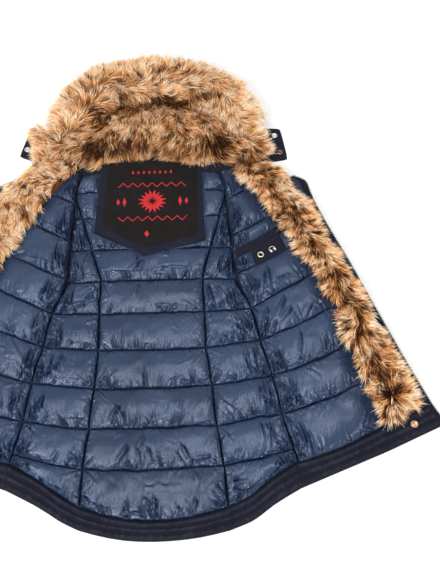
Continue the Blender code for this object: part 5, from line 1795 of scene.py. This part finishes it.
EYE, LOOKED_AT = (0.0483388, -0.5220227, 1.0595371), (0.068, 0.041, 0.0)
LENS, SHIFT = 41.2129, 0.0511073
FLOOR_REACH, FLOOR_WHITE = 6.0, (0.97, 0.97, 0.97, 1)
SURROUND_STRENGTH = 0.54
LAMPS = (("key", (-0.95, -1.5, 1.75), 0.8, 38.5),       # name, place, size and power
         ("overhead", (-0.1, -0.2, 1.9), 0.7, 12.0),
         ("top_fill", (0.5, 0.5, 2.0), 1.2, 10.0))


def aimed(name, data, place, aim):
    """Camera or lamp at a place, turned towards its aim."""
    thing = add_object(name, data)
    thing.location = place
    thing.rotation_euler = (Vector(aim) - Vector(place)).to_track_quat("-Z", "Y").to_euler()
    return thing


def camera():
    """Camera above the hem, looking down towards the hood."""
    data = bpy.data.cameras.new("camera")
    data.lens, data.sensor_width, data.shift_x = LENS, 36.0, SHIFT
    bpy.context.scene.camera = aimed("camera", data, EYE, LOOKED_AT)


def studio():
    """Plain white floor, an even white surround and three soft lights."""
    mesh = bpy.data.meshes.new("floor")
    corners = [(x * FLOOR_REACH, y * FLOOR_REACH, 0) for x, y in ((-1, -1), (1, -1), (1, 1), (-1, 1))]
    mesh.from_pydata(corners, [], [(0, 1, 2, 3)])
    mesh.materials.append(Finish("white_floor", Base_Color=FLOOR_WHITE, Roughness=0.9).material)
    add_object("floor", mesh)
    world = bpy.data.worlds.new("surround")
    world.use_nodes = True
    world.node_tree.nodes["Background"].inputs["Color"].default_value = (1.0, 1.0, 1.0, 1.0)
    world.node_tree.nodes["Background"].inputs["Strength"].default_value = SURROUND_STRENGTH
    bpy.context.scene.world = world
    bpy.context.scene.view_settings.view_transform = "Standard"
    for name, place, size, power in LAMPS:
        data = bpy.data.lights.new(name, "AREA")
        data.shape, data.size, data.energy = "DISK", size, power
        aimed(name, data, place, (0.0, 0.0, 0.0))


def main():
    """The coat in its finishes, then the stage."""
    lining = lining_finish()
    back_centre_lining(lining)
    for side in SIDES:
        back_side_lining(side, lining)
        front_lining(side, lining)
    navy, facing, tape = (twill_finish(name, NAVY, NAVY_DEEP)
                          for name in ("navy_twill", "navy_facing", "zip_tape"))
    band = twill_finish("navy_band", NAVY, NAVY_DEEP, ridge_highlight=NAVY_RIDGE_HIGHLIGHT)
    black = twill_finish("black_canvas", LABEL_WORN, LABEL_BLACK)
    metals = {title: metal_finish(*look) for title, look in METALS.items()}
    thread = thread_finish("navy_thread", NAVY_THREAD)
    teeth = thread_finish("moulded_teeth", MOULDED)
    neck_facing(facing, black)
    label_motif(embroidery_finish())
    pocket(facing, thread_finish("silver_print", PRINT))
    pocket_eyelet(metals["eyelet"])
    back_shell(navy)
    hem_facing_back(band)
    hood_shell(navy)
    # the navy thread finish also serves as the painted shade inside the snap sockets
    snaps(metals, thread)
    quilting_stitches(thread)
    for side in SIDES:
        front_shell(side, navy)
        hem_facing_front(side, band)
        zip_half(side, tape, teeth)
        sleeve(side, navy)
        hood_tab(side, navy, thread)
    fur = fur_finish()
    brim_fur(fur)
    hood_lining_fur(fur)
    for side in SIDES:
        strip_fur(side, fur)
    camera()
    studio()


main()
